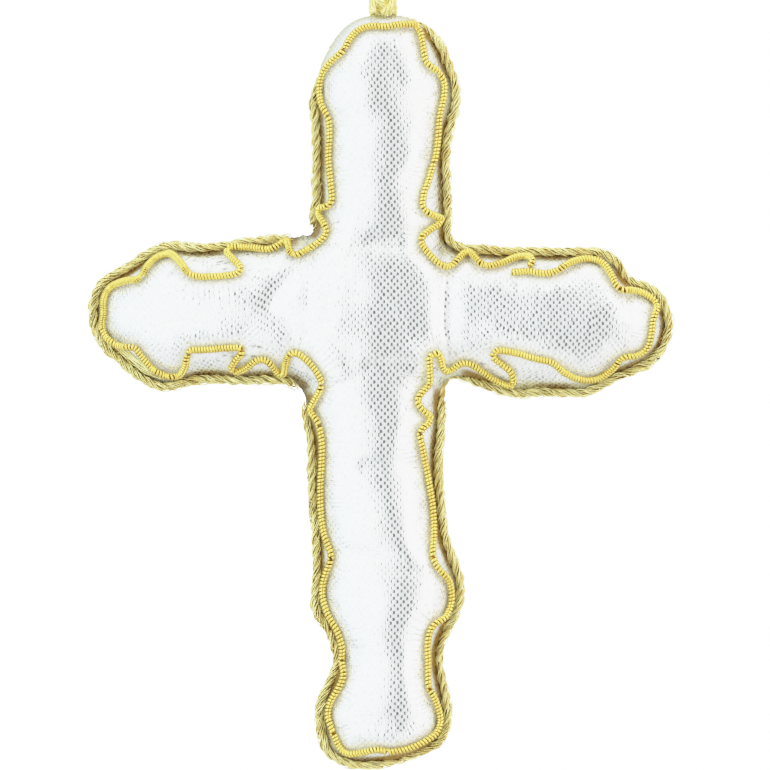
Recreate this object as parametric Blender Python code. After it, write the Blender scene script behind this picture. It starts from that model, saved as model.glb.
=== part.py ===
"""Padded cross ornament in silver tissue with gold purl, a gold edge cord and a plaited loop.

The cross hangs from its loop. The frame is metres, +Z up, the embroidered face towards -Y, with
the origin inside the top of the loop, where a hook carries it. The tables are in millimetres,
measured across and up from the middle of the crossing.
"""

import math

import bmesh
import bpy
from mathutils import Vector
from mathutils.bvhtree import BVHTree

MM = 0.001

# Driving sizes, in millimetres
GAP = 0.38
FRONT_CROWN = 7.0
BACK_CROWN = 5.2
CROWN_POWER = 0.62
ARM_ROOT_CROWN = 0.88
CORD_DIAMETER = 1.8
PURL_DIAMETER = 1.5
PLAIT_WIDTH = 5.6
PLAIT_STRAND = 1.8
PLAIT_LIFT = 0.6
PLAIT_PITCH = 12.0
LOOP_TOP = 93.8

# The left side bends away from the viewer: where the bend starts and is full, and its slope
BEND_START = -4.0
BEND_FULL = -20.0
BEND_SLOPE = 0.2

# The plait is half as thick as its strand and its lift together make it
PLAIT_HALF_THICKNESS = PLAIT_STRAND / 2 + PLAIT_LIFT
HANG_HEIGHT = LOOP_TOP - PLAIT_HALF_THICKNESS

# Mesh steps
FINE_STEP = 0.2
CELLS_ACROSS = 12
CORD_STEP = 2.8
PURL_STEP = 2.3
PLAIT_STEP = 1.0
PLAIT_SIDES = 14

# Inner corners of the cloth, across and up
TOP_LEFT = (-13.3, 11.4)
TOP_RIGHT = (11.0, 10.2)
BOTTOM_RIGHT = (11.0, -13.7)
BOTTOM_LEFT = (-13.9, -14.9)

# Cloth sections, from the crossing outwards: station, low edge, high edge, crown
TOP_ARM = (
    (15.0, -11.6, 10.7, 0.88),
    (18.5, -11.2, 10.7, 0.90),
    (22.0, -11.2, 10.6, 0.93),
    (26.0, -11.1, 10.4, 0.96),
    (30.0, -11.2, 10.7, 0.98),
    (34.0, -11.4, 11.6, 0.99),
    (38.0, -11.9, 12.2, 0.99),
    (42.0, -12.1, 11.8, 0.96),
    (45.0, -11.1, 10.6, 0.88),
    (47.8, -9.6, 9.4, 0.76),
    (50.3, -8.0, 7.9, 0.60),
    (52.0, -6.1, 6.2, 0.42),
    (53.0, -4.0, 4.4, 0.24),
    (53.3, -2.4, 3.4, 0.0),
)
SHAFT = (
    (-18.0, -13.1, 9.7, 0.88),
    (-22.0, -12.9, 9.7, 0.90),
    (-26.0, -12.2, 9.3, 0.90),
    (-30.0, -12.1, 9.0, 0.88),
    (-34.0, -12.0, 9.2, 0.90),
    (-38.0, -11.6, 9.8, 0.94),
    (-42.0, -11.3, 10.1, 0.97),
    (-46.0, -11.3, 11.4, 0.98),
    (-50.0, -11.2, 12.8, 0.99),
    (-54.0, -11.5, 13.1, 0.99),
    (-58.0, -10.7, 12.0, 0.96),
    (-62.0, -8.4, 9.9, 0.90),
    (-66.0, -7.3, 9.3, 0.86),
    (-70.0, -8.8, 9.9, 0.88),
    (-74.0, -10.3, 10.6, 0.88),
    (-77.5, -10.6, 10.7, 0.80),
    (-80.5, -10.0, 9.8, 0.66),
    (-82.6, -8.9, 6.6, 0.46),
    (-83.8, -6.6, 3.6, 0.27),
    (-84.3, -4.6, -0.6, 0.0),
)
LEFT_ARM = (
    (-17.0, -12.9, 11.1, 0.88),
    (-21.0, -12.8, 10.7, 0.90),
    (-26.0, -12.9, 10.2, 0.93),
    (-31.0, -12.7, 9.4, 0.96),
    (-35.5, -12.9, 9.4, 0.98),
    (-39.5, -14.0, 9.7, 0.98),
    (-43.0, -13.4, 8.6, 0.93),
    (-46.0, -11.5, 6.6, 0.83),
    (-48.6, -9.2, 5.1, 0.68),
    (-50.8, -7.2, 3.9, 0.50),
    (-52.3, -5.2, 2.4, 0.29),
    (-52.9, -3.2, 0.8, 0.0),
)
RIGHT_ARM = (
    (14.5, -12.7, 9.0, 0.88),
    (19.0, -13.8, 8.8, 0.90),
    (24.0, -15.3, 8.5, 0.93),
    (29.0, -15.1, 8.7, 0.96),
    (34.0, -15.3, 8.5, 0.98),
    (38.5, -14.8, 8.6, 0.98),
    (42.0, -12.9, 7.3, 0.92),
    (45.0, -11.5, 3.4, 0.80),
    (47.6, -10.4, 2.5, 0.66),
    (49.8, -9.0, 1.4, 0.48),
    (51.2, -7.2, -0.6, 0.27),
    (51.7, -5.4, -2.6, 0.0),
)

# Creases pressed into the front: from across, up; to across, up; depth, half width
CREASES = (
    (12.3, 5.5, 12.0, -4.5, 0.9, 2.1),
    (-18.5, 7.0, -22.3, 0.2, 0.8, 1.8),
    (-22.3, -0.8, -18.2, -7.0, 0.8, 1.8),
    (-4.0, 11.2, 3.0, 10.8, 0.6, 1.5),
    (-5.5, -12.2, 4.0, -12.4, 0.8, 1.6),
    (-3.0, -30.0, 4.5, -30.2, 0.4, 1.4),
    (-8.5, -47.5, 0.5, -46.5, 0.6, 2.0),
    (-1.0, -78.5, 7.5, -76.0, 0.5, 1.8),
)

# Edge cord, the long length: left of the top arm, behind the top, right arm, foot, left corner
LONG_CORD = (
    (-12.9, 13.6), (-12.9, 16.4), (-12.3, 19.2), (-12.4, 22.8), (-12.3, 27.0), (-12.4, 31.0),
    (-12.7, 35.0), (-12.9, 37.6), (-12.3, 40.0), (-11.2, 42.6), (-9.7, 45.2), (-8.2, 47.6),
    (-6.4, 49.7), (-4.0, 51.3), (-1.0, 52.1), (2.4, 52.3), (5.0, 52.3), (7.4, 51.3),
    (9.3, 49.8), (10.9, 47.4), (12.0, 44.6), (13.1, 41.8), (13.6, 38.6), (13.3, 35.9),
    (12.4, 32.6), (11.8, 29.0), (11.6, 26.0), (11.9, 21.0), (12.0, 16.6), (11.8, 13.8),
    (12.1, 12.2), (13.3, 10.9), (15.4, 10.2), (18.5, 10.1), (22.0, 9.8), (27.0, 9.9),
    (32.0, 9.7), (37.0, 9.8), (39.7, 9.8), (42.2, 8.7), (43.9, 6.9), (44.9, 5.0),
    (46.6, 3.9), (49.2, 3.1), (51.3, 1.3), (52.7, -1.8), (52.9, -4.8), (51.8, -8.2),
    (49.6, -10.7), (46.4, -12.3), (43.2, -13.6), (40.4, -15.2), (37.2, -16.5), (33.0, -16.4),
    (29.0, -16.4), (25.6, -16.7), (21.6, -15.9), (17.8, -14.6), (14.8, -13.4), (12.6, -13.2),
    (11.2, -14.2), (10.8, -16.6), (10.9, -20.0), (10.8, -23.0), (10.3, -27.0), (10.2, -31.0),
    (10.6, -35.5), (11.0, -39.5), (11.4, -43.0), (12.5, -46.0), (13.9, -49.6), (14.4, -53.2),
    (13.7, -56.8), (12.0, -60.0), (10.7, -63.0), (10.4, -66.0), (11.0, -69.6), (11.7, -73.4),
    (12.0, -76.4), (11.4, -79.4), (10.2, -81.3), (7.5, -82.8), (3.6, -84.3), (-0.4, -85.3),
    (-4.4, -85.5), (-8.0, -84.6), (-10.3, -82.8), (-11.3, -79.8), (-11.9, -76.0), (-11.2, -73.0),
    (-9.8, -69.8), (-8.5, -66.6), (-8.8, -63.8), (-10.2, -60.3), (-12.1, -57.5), (-12.7, -54.6),
    (-12.3, -50.6), (-12.4, -46.4), (-12.5, -42.4), (-12.8, -37.8), (-13.2, -33.6),
    (-13.2, -29.4), (-13.4, -25.4), (-14.2, -22.0), (-14.4, -19.4), (-14.3, -17.6),
)

# Edge cord round the left arm
LEFT_CORD = (
    (-15.2, -15.6), (-17.4, -14.5), (-20.0, -14.0), (-24.0, -14.1), (-28.0, -14.1),
    (-33.0, -13.9), (-36.8, -14.6), (-40.2, -15.3), (-43.2, -14.6), (-46.4, -12.6),
    (-49.6, -9.9), (-52.3, -7.2), (-53.8, -3.9), (-54.1, -0.6), (-53.4, 2.7), (-51.2, 5.0),
    (-48.2, 6.5), (-45.5, 8.3), (-42.8, 10.1), (-39.6, 10.9), (-35.4, 10.6), (-31.4, 10.7),
    (-27.0, 11.4), (-23.0, 11.8), (-19.6, 12.2), (-16.4, 12.4),
)

# Cut lengths of purl, in order from the top of the cross, leftwards round it
PURL = (
    ((6.0, 51.6), (3.4, 51.6), (0.5, 51.2), (-2.4, 51.3), (-4.8, 50.4), (-6.2, 48.8), (-6.9, 47.5)),
    ((-7.5, 46.5), (-9.3, 45.1), (-11.1, 42.9), (-11.8, 40.2), (-11.5, 37.2), (-10.6, 35.3)),
    ((-10.1, 34.4), (-9.9, 31.5), (-10.1, 27.4), (-9.8, 23.2), (-9.5, 20.0), (-9.8, 18.5),
     (-11.0, 17.9), (-12.0, 17.8)),
    ((-11.9, 16.4), (-11.0, 14.9), (-10.5, 13.3), (-11.5, 11.8), (-13.5, 10.4), (-16.0, 9.0)),
    ((-17.0, 9.2), (-17.5, 10.7), (-18.0, 12.0)),
    ((-19.2, 11.0), (-21.2, 10.2), (-23.6, 10.4), (-26.4, 10.6), (-28.8, 10.7)),
    ((-29.0, 9.7), (-27.4, 8.0), (-26.3, 6.7), (-27.2, 5.6), (-30.0, 5.2), (-33.4, 5.1),
     (-35.4, 5.3)),
    ((-36.3, 5.9), (-37.6, 7.8), (-39.5, 9.4), (-42.0, 8.8), (-43.7, 7.2), (-44.5, 5.8)),
    ((-45.3, 4.7), (-48.2, 4.3), (-50.9, 3.1), (-52.0, 0.8), (-52.0, -1.6), (-52.4, -3.8)),
    ((-52.2, -4.8), (-51.2, -6.5), (-49.2, -7.7), (-47.2, -8.0)),
    ((-46.2, -7.9), (-44.6, -10.0), (-42.6, -12.2), (-40.0, -13.4), (-37.8, -13.2),
     (-36.7, -11.6), (-36.4, -10.0)),
    ((-35.9, -8.6), (-33.0, -8.5), (-29.4, -8.2), (-26.2, -8.1)),
    ((-25.9, -8.9), (-27.4, -10.6), (-28.2, -12.2)),
    ((-27.3, -12.7), (-25.4, -11.9), (-23.5, -10.5), (-21.6, -10.5), (-20.2, -12.0),
     (-19.1, -13.2)),
    ((-18.4, -13.0), (-18.1, -11.4), (-17.7, -10.0)),
    ((-17.0, -9.0), (-15.2, -9.5), (-13.3, -11.3), (-12.0, -13.1), (-11.4, -14.5)),
    ((-11.3, -15.2), (-12.2, -16.9), (-13.1, -18.5)),
    ((-13.6, -19.6), (-12.8, -20.8), (-12.0, -22.0)),
    ((-11.7, -23.0), (-11.3, -26.0), (-11.4, -30.2), (-11.6, -34.0), (-11.5, -38.4),
     (-11.0, -42.2), (-10.1, -44.9), (-9.5, -46.7)),
    ((-9.7, -47.6), (-10.9, -50.8), (-11.2, -54.0), (-10.2, -57.5), (-8.5, -60.5),
     (-7.6, -63.4), (-7.7, -65.6)),
    ((-7.6, -66.4), (-7.3, -68.6), (-8.2, -71.0), (-9.7, -73.6), (-10.2, -76.2), (-9.4, -79.0)),
    ((-9.0, -79.9), (-8.2, -81.9), (-6.6, -83.2), (-4.2, -83.0), (-1.4, -82.4), (0.5, -82.7)),
    ((1.3, -82.8), (4.6, -82.2), (7.6, -80.9), (9.9, -79.3), (10.6, -76.8), (9.9, -73.8),
     (8.8, -71.5)),
    ((8.4, -70.6), (8.3, -66.4), (8.3, -62.2), (9.3, -59.4), (11.7, -57.7), (12.7, -54.6),
     (12.2, -51.2), (10.4, -49.1), (9.3, -47.2)),
    ((9.2, -46.2), (9.4, -42.0), (9.2, -37.6), (8.5, -33.0), (7.6, -28.2), (6.8, -24.4)),
    ((6.9, -23.4), (7.7, -22.7), (8.6, -22.0)),
    ((8.8, -20.8), (7.3, -19.6), (6.4, -18.0), (7.2, -16.4), (8.5, -15.2)),
    ((8.7, -14.3), (8.6, -11.8), (8.6, -9.6)),
    ((10.0, -9.0), (10.7, -10.2), (11.1, -11.9), (11.9, -12.6)),
    ((12.8, -12.2), (14.3, -11.1), (16.2, -11.2), (18.8, -12.9), (21.2, -14.4), (23.8, -15.3)),
    ((24.2, -14.3), (23.4, -12.4), (21.6, -11.0), (20.1, -9.6)),
    ((20.9, -8.6), (24.4, -9.1), (27.8, -10.1), (31.1, -10.9), (33.4, -12.7), (36.4, -14.0),
     (39.4, -14.0), (42.0, -12.5), (43.6, -10.7)),
    ((44.4, -9.9), (46.9, -9.6), (48.8, -8.2), (49.6, -5.6), (49.9, -3.0), (50.7, -0.7)),
    ((50.4, 0.5), (48.4, 1.9), (46.2, 2.5), (44.2, 2.5)),
    ((43.2, 3.1), (42.2, 5.3), (40.6, 7.6), (37.9, 8.4), (35.0, 7.8), (32.8, 6.5)),
    ((31.9, 5.9), (29.6, 5.6), (26.8, 6.0), (23.8, 5.8)),
    ((26.6, 7.8), (25.0, 8.5), (22.2, 7.7), (19.4, 6.9)),
    ((18.3, 7.2), (17.2, 8.4), (15.8, 9.7), (14.4, 8.9), (13.2, 7.5)),
    ((12.3, 6.8), (10.5, 7.3), (8.5, 9.2), (7.1, 11.1)),
    ((7.0, 12.2), (8.5, 13.5), (10.4, 14.8)),
    ((10.8, 15.8), (9.2, 16.4), (7.8, 17.1)),
    ((7.3, 18.0), (7.6, 20.4), (8.4, 22.6), (9.2, 25.4)),
    ((9.6, 26.6), (10.1, 30.0), (10.5, 34.6), (11.3, 38.4), (11.3, 40.8), (10.6, 42.4)),
    ((10.0, 43.1), (9.0, 43.7), (8.1, 44.4)),
    ((7.8, 45.3), (7.4, 47.8), (6.9, 50.4)),
)

# Half of the loop's side view, from the seam to the top: depth, up
LOOP_SIDE = (
    (1.9, 53.6), (1.9, 56.5), (2.2, 60.5), (3.0, 65.5), (4.2, 70.5), (5.4, 75.5), (6.2, 80.0),
    (6.5, 84.4), (6.0, 88.3), (4.5, 91.4), (2.4, 93.2), (0.0, LOOP_TOP),
)


def clear_scene():
    for leftover in list(bpy.data.objects):
        bpy.data.objects.remove(leftover)


def bent_back(across):
    """How far behind the flat cross its left side lies at this distance across."""
    run = max(0.0, BEND_START - across)
    turning = BEND_START - BEND_FULL
    if run < turning:
        return BEND_SLOPE * run * run / (2 * turning)
    return BEND_SLOPE * (run - turning / 2)


def spot(across, up, depth=0.0):
    """Place in metres of a point given in millimetres from the crossing."""
    return Vector((across * MM, (depth + bent_back(across)) * MM, (up - HANG_HEIGHT) * MM))


def finish_material(name, colour, metallic, roughness):
    material = bpy.data.materials.new(name)
    material.use_nodes = True
    shader = material.node_tree.nodes["Principled BSDF"]
    shader.inputs["Base Color"].default_value = (*colour, 1.0)
    shader.inputs["Metallic"].default_value = metallic
    shader.inputs["Roughness"].default_value = roughness
    return material


def add_piece(name, data, material, collection):
    data.materials.append(material)
    piece = bpy.data.objects.new(name, data)
    collection.objects.link(piece)
    return piece


def crown(reach):
    """Height of the stuffed cloth, 0 at the seam (reach -1 or 1) and 1 in the middle."""
    return max(0.0, 1.0 - reach * reach) ** CROWN_POWER


def spread(share):
    """Even shares turned into reaches from -1 to 1 that crowd towards the seams."""
    return -math.cos(math.pi * share)


def blend(start, end, share):
    return start + (end - start) * share


def crease_depth(across, up):
    depth = 0.0
    for x0, z0, x1, z1, deepest, half_width in CREASES:
        run = Vector((x1 - x0, z1 - z0))
        offset = Vector((across - x0, up - z0))
        share = min(1.0, max(0.0, offset.dot(run) / run.length_squared))
        distance = (offset - run * share).length
        depth += deepest * math.exp(-((distance / half_width) ** 2))
    return depth


def cloth_place(column, row):
    """Across, up and height share of one corner of the plus-shaped grid."""
    left, low = len(LEFT_ARM), len(SHAFT)
    side_reach = spread(min(1.0, max(0.0, (column - left) / CELLS_ACROSS)))
    rise_reach = spread(min(1.0, max(0.0, (row - low) / CELLS_ACROSS)))
    side_share = (side_reach + 1.0) / 2.0
    rise_share = (rise_reach + 1.0) / 2.0
    if column < left:
        across, bottom, top, height = LEFT_ARM[left - column - 1]
        return across, blend(bottom, top, rise_share), height * crown(rise_reach)
    if column > left + CELLS_ACROSS:
        across, bottom, top, height = RIGHT_ARM[column - left - CELLS_ACROSS - 1]
        return across, blend(bottom, top, rise_share), height * crown(rise_reach)
    if row < low:
        up, start, end, height = SHAFT[low - row - 1]
        return blend(start, end, side_share), up, height * crown(side_reach)
    if row > low + CELLS_ACROSS:
        up, start, end, height = TOP_ARM[row - low - CELLS_ACROSS - 1]
        return blend(start, end, side_share), up, height * crown(side_reach)
    lower = [blend(a, b, side_share) for a, b in zip(BOTTOM_LEFT, BOTTOM_RIGHT)]
    upper = [blend(a, b, side_share) for a, b in zip(TOP_LEFT, TOP_RIGHT)]
    across, up = (blend(a, b, rise_share) for a, b in zip(lower, upper))
    side_crown, rise_crown = crown(side_reach), crown(rise_reach)
    both = side_crown * rise_crown
    return across, up, blend(ARM_ROOT_CROWN, 1.0, both) * (side_crown + rise_crown - both)


def cloth_sheet(body, side):
    """One face of the cross, front (side -1) or back (side 1), its edge on the seam."""
    left, low = len(LEFT_ARM), len(SHAFT)
    columns = left + CELLS_ACROSS + len(RIGHT_ARM)
    rows = low + CELLS_ACROSS + len(TOP_ARM)
    made = bmesh.ops.create_grid(body, x_segments=columns, y_segments=rows, size=0.5)
    outside = []
    for vert in made["verts"]:
        column = round((vert.co.x + 0.5) * columns)
        row = round((vert.co.y + 0.5) * rows)
        beside = column < left or column > left + CELLS_ACROSS
        above_or_below = row < low or row > low + CELLS_ACROSS
        if beside and above_or_below:
            outside.append(vert)
            continue
        across, up, share = cloth_place(column, row)
        height = share * (FRONT_CROWN if side < 0 else BACK_CROWN)
        if side < 0:
            height -= crease_depth(across, up) * min(1.0, height / FRONT_CROWN * 2.0)
        vert.co = spot(across, up, side * height)
    faces = {face for vert in made["verts"] for face in vert.link_faces}
    if side > 0:
        bmesh.ops.reverse_faces(body, faces=list(faces))
    bmesh.ops.delete(body, geom=outside, context="VERTS")


def make_padded_cross(material, collection):
    body = bmesh.new()
    cloth_sheet(body, -1)
    cloth_sheet(body, 1)
    bmesh.ops.remove_doubles(body, verts=body.verts, dist=1e-6)
    mesh = bpy.data.meshes.new("padded_cross")
    body.to_mesh(mesh)
    body.free()
    mesh.shade_smooth()
    return add_piece("padded_cross", mesh, material, collection)


def smooth_route(points, step):
    """Even steps along a smooth curve through the points, of any number of columns."""
    points = [Vector(point) for point in points]
    ends = [points[0] * 2 - points[1]] + points + [points[-1] * 2 - points[-2]]
    fine = []
    for before, start, end, after in zip(ends, ends[1:], ends[2:], ends[3:]):
        for part in range(10):
            t = part / 10
            bend = 2 * before - 5 * start + 4 * end - after
            twist = 3 * start - before - 3 * end + after
            fine.append((2 * start + (end - before) * t + bend * t * t + twist * t**3) / 2)
    fine.append(points[-1])
    travelled = [0.0]
    for start, end in zip(fine, fine[1:]):
        travelled.append(travelled[-1] + (end - start).length)
    count = max(2, round(travelled[-1] / step))
    route = []
    index = 0
    for number in range(count + 1):
        wanted = travelled[-1] * number / count
        while index < len(fine) - 2 and travelled[index + 1] < wanted:
            index += 1
        span = travelled[index + 1] - travelled[index]
        route.append(fine[index].lerp(fine[index + 1], (wanted - travelled[index]) / span))
    return route


def tree_of(piece):
    """Search tree of a piece as it is shown, curve or mesh."""
    shown = piece.evaluated_get(bpy.context.evaluated_depsgraph_get())
    mesh = shown.to_mesh()
    corners = [vert.co.copy() for vert in mesh.vertices]
    faces = [list(face.vertices) for face in mesh.polygons]
    shown.to_mesh_clear()
    return BVHTree.FromPolygons(corners, faces)


def nearest(trees, place):
    return min(tree.find_nearest(place)[3] for tree in trees)


def laid_depth(point, side, trees, clearance):
    """How far out the point lies against the trees on one side, no further in than the seam."""
    depth = 20.0
    while depth > 0.0:
        spare = nearest(trees, spot(point.x, point.y, side * depth)) / MM - clearance
        if spare < 0.01:
            break
        depth -= spare
    return max(0.0, depth)


def lay_route(points, step, side, trees, clearance):
    """Fine and even steps along a route laid on the trees, each on the high spots beside it."""
    flat = smooth_route(points, FINE_STEP)
    depths = [laid_depth(point, side, trees, clearance) for point in flat]
    reach = max(1, round(step / 2 / FINE_STEP))
    route = []
    for number, point in enumerate(flat):
        highest = max(depths[max(0, number - reach) : number + reach + 1])
        route.append(Vector((point.x, point.y, side * highest)))
    return route


def add_tube(name, route, diameter, material, collection):
    """Tube along a route of points across, up and deep, in millimetres."""
    curve = bpy.data.curves.new(name, "CURVE")
    curve.dimensions = "3D"
    curve.bevel_depth = diameter * MM / 2
    curve.bevel_resolution = 2
    curve.use_fill_caps = True
    spline = curve.splines.new("POLY")
    spline.points.add(len(route) - 1)
    for point, place in zip(spline.points, route):
        point.co = (*spot(*place), 1.0)
    return add_piece(name, curve, material, collection)


def make_edge_cord(name, points, trees, material, collection):
    fine = lay_route(points, CORD_STEP, 1, trees, CORD_DIAMETER / 2 + GAP)
    return add_tube(name, smooth_route(fine, CORD_STEP), CORD_DIAMETER, material, collection)


def end_skin(fine):
    """Points over the cut end of a purl length and the side just behind it."""
    count = round(PURL_DIAMETER / FINE_STEP)
    route = [spot(*point) for point in fine[: count + 1]]
    skin = []
    for number in range(count):
        along = (route[number + 1] - route[number]).normalized()
        out = along.cross(Vector((0, 1, 0))).normalized()
        lift = out.cross(along)
        for turn in range(12):
            angle = math.tau * turn / 12
            offset = (out * math.cos(angle) + lift * math.sin(angle)) * PURL_DIAMETER * MM / 2
            skin.append(route[number] + offset)
            if number == 0:
                skin.append(route[number] + offset / 2)
    return skin


def make_purl(trees, material, collection):
    """Lay each cut length on the cloth, its ends drawn back from the lengths laid before."""
    shortest = round(PURL_DIAMETER / FINE_STEP) + 1
    laid_lengths = []
    for number, points in enumerate(PURL, start=1):
        fine = lay_route(points, PURL_STEP, -1, trees, PURL_DIAMETER / 2 + GAP)
        neighbours = laid_lengths[:1] + laid_lengths[-3:]
        for _ in ("start", "end"):
            while len(fine) > shortest and neighbours:
                if min(nearest(neighbours, place) for place in end_skin(fine)) > GAP * MM:
                    break
                fine.pop(0)
            fine.reverse()
        route = smooth_route(fine, PURL_STEP)
        length = add_tube(f"purl_{number:02d}", route, PURL_DIAMETER, material, collection)
        bpy.context.view_layer.update()
        laid_lengths.append(tree_of(length))


def plait_reach(direction, angle):
    """How far three plaited strands reach from the plait's middle in one direction."""
    swing = (PLAIT_WIDTH - PLAIT_STRAND) / 2
    radius = PLAIT_STRAND / 2
    reach = radius * 0.9
    for strand in range(3):
        turn = angle + strand * math.tau / 3
        centre = Vector((swing * math.sin(turn), PLAIT_LIFT * math.sin(2 * turn)))
        along = centre.dot(direction)
        inside = radius**2 - centre.length_squared + along**2
        if inside >= 0.0:
            reach = max(reach, along + math.sqrt(inside))
    return reach


def make_hanging_loop(material, collection):
    """Three-strand plait bent into a loop, its two ends one behind the other on the seam."""
    front = [(-depth, up) for depth, up in LOOP_SIDE]
    back = list(reversed(LOOP_SIDE))[1:]
    route = smooth_route(front + back, PLAIT_STEP)
    body = bmesh.new()
    rings = []
    for number, middle in enumerate(route):
        before = route[max(0, number - 1)]
        after = route[min(len(route) - 1, number + 1)]
        along = (after - before).normalized()
        outward = Vector((-along.y, along.x))
        angle = math.tau * number * PLAIT_STEP / PLAIT_PITCH
        ring = []
        for side in range(PLAIT_SIDES):
            turn = math.tau * (side + 0.5) / PLAIT_SIDES
            wide, thick = PLAIT_WIDTH / 2 * math.cos(turn), PLAIT_HALF_THICKNESS * math.sin(turn)
            direction = Vector((wide, thick)).normalized()
            offset = direction * plait_reach(direction, angle)
            place = middle + outward * offset.y
            ring.append(body.verts.new(spot(offset.x, place.y, place.x)))
        rings.append(ring)
    for ring, following in zip(rings, rings[1:]):
        for side in range(PLAIT_SIDES):
            other = (side + 1) % PLAIT_SIDES
            body.faces.new((ring[side], ring[other], following[other], following[side]))
    body.faces.new(rings[0])
    body.faces.new(rings[-1])
    bmesh.ops.recalc_face_normals(body, faces=body.faces)
    mesh = bpy.data.meshes.new("hanging_loop")
    body.to_mesh(mesh)
    body.free()
    mesh.shade_smooth()
    return add_piece("hanging_loop", mesh, material, collection)


def main():
    clear_scene()
    collection = bpy.data.collections.new("cross_ornament")
    bpy.context.scene.collection.children.link(collection)
    tissue = finish_material("silver_tissue", (0.86, 0.87, 0.90), 0.35, 0.42)
    gold_cord = finish_material("gold_cord", (0.86, 0.74, 0.34), 0.8, 0.38)
    gold_purl = finish_material("gold_purl", (0.90, 0.72, 0.22), 1.0, 0.28)
    cross = make_padded_cross(tissue, collection)
    bpy.context.view_layer.update()
    cloth = [tree_of(cross)]
    long_cord = make_edge_cord("edge_cord_long", LONG_CORD, cloth, gold_cord, collection)
    left_cord = make_edge_cord("edge_cord_left_arm", LEFT_CORD, cloth, gold_cord, collection)
    bpy.context.view_layer.update()
    seats = cloth + [tree_of(long_cord), tree_of(left_cord)]
    make_purl(seats, gold_purl, collection)
    make_hanging_loop(gold_cord, collection)


main()
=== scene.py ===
# %% [markdown]
# A padded cross in silver tissue, in cells.
# The real thing is a flat cross of silver cloth, stuffed from behind, edged with a twisted gold
# cord, and embroidered with cut lengths of purl, a fine gold spring. It hangs from a plaited loop.
# The solids of the part come in first. They stay where they are, and each piece made here takes
# the place of one of them.

import math
import random

import bmesh
import bpy
import numpy as np
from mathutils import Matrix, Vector, noise
from mathutils.bvhtree import BVHTree
from mathutils.kdtree import KDTree


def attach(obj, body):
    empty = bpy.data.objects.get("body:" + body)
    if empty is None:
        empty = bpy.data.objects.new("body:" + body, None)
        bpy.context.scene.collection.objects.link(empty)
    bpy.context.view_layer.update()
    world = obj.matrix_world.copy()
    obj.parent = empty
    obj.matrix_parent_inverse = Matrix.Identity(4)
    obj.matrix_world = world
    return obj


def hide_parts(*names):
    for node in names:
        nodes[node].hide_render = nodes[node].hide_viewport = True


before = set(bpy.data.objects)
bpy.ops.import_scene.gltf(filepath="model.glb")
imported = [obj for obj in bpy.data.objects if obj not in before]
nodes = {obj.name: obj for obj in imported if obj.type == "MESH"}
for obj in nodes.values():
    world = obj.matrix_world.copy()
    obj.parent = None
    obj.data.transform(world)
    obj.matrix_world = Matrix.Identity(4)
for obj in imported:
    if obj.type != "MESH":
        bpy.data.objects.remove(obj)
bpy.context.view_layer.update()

# %% [markdown]
# Sizes are read in millimetres from the middle of the crossing, across and up, as a maker would
# mark them on the cloth. One small function turns them into places in metres. The left side of
# the real cross bends away from the viewer, so the function carries that bend too. Moving and
# turning the finished objects could do the same, but they have to stay at the origin.

# %% Places on the cross
MM = 0.001
HANG_HEIGHT = 92.3
BEND_START = -4.0
BEND_FULL = -20.0
BEND_SLOPE = 0.2


def bent_back(across):
    """How far behind the flat cross its left side lies at this distance across."""
    run = max(0.0, BEND_START - across)
    turning = BEND_START - BEND_FULL
    if run < turning:
        return BEND_SLOPE * run * run / (2 * turning)
    return BEND_SLOPE * (run - turning / 2)


def spot(across, up, depth=0.0):
    """Place in metres of a point given in millimetres from the crossing."""
    return Vector((across * MM, (depth + bent_back(across)) * MM, (up - HANG_HEIGHT) * MM))


print("the end of the left arm lies", round(bent_back(-53), 1), "mm back")

# %% [markdown]
# The camera looks straight at the embroidered face. A long lens from far away keeps the outline
# as flat as it is in the photograph. A short lens would show the sides of the padding.

# %% Camera
PICTURE_SIDE = 142.7
PICTURE_MIDDLE = (0.37, -15.0)
LENS = 300.0
SENSOR = 36.0

camera_data = bpy.data.cameras.new("camera")
camera_data.lens = LENS
camera_data.sensor_width = SENSOR
camera_data.clip_start = 0.05
camera_data.clip_end = 50.0
camera = bpy.data.objects.new("camera", camera_data)
camera.location = spot(*PICTURE_MIDDLE) - Vector((0, PICTURE_SIDE * MM * LENS / SENSOR, 0))
camera.rotation_euler = (math.radians(90), 0, 0)
bpy.context.scene.collection.objects.link(camera)
bpy.context.scene.camera = camera
print("camera stands", round(-camera.location.y, 3), "m in front of the cross")

# %% [markdown]
# Everything gold on this cross is a line of some kind, so the first tools are for lines.
# A route is a smooth curve through a few given points. Blender's own curves could give
# it, but a list of places in even steps can also be wound, laid on the cloth and measured.

# %% Routes
def smooth_route(points, step):
    """Even steps along a smooth curve through the points, of any number of columns."""
    points = [Vector(point) for point in points]
    ends = [points[0] * 2 - points[1]] + points + [points[-1] * 2 - points[-2]]
    fine = []
    for before, start, end, after in zip(ends, ends[1:], ends[2:], ends[3:]):
        for part in range(10):
            t = part / 10
            bend = 2 * before - 5 * start + 4 * end - after
            twist = 3 * start - before - 3 * end + after
            fine.append((2 * start + (end - before) * t + bend * t * t + twist * t**3) / 2)
    fine.append(points[-1])
    travelled = [0.0]
    for start, end in zip(fine, fine[1:]):
        travelled.append(travelled[-1] + (end - start).length)
    count = max(2, round(travelled[-1] / step))
    route = []
    index = 0
    for number in range(count + 1):
        wanted = travelled[-1] * number / count
        while index < len(fine) - 2 and travelled[index + 1] < wanted:
            index += 1
        span = travelled[index + 1] - travelled[index]
        route.append(fine[index].lerp(fine[index + 1], (wanted - travelled[index]) / span))
    return route


def route_length(route):
    """Length of a route, in the unit of its places."""
    return sum((end - start).length for start, end in zip(route, route[1:]))


print("a test route of 10 mm has", len(smooth_route(((0, 0, 0), (4, 1, 0), (10, 0, 0)), 0.5)), "places")

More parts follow.
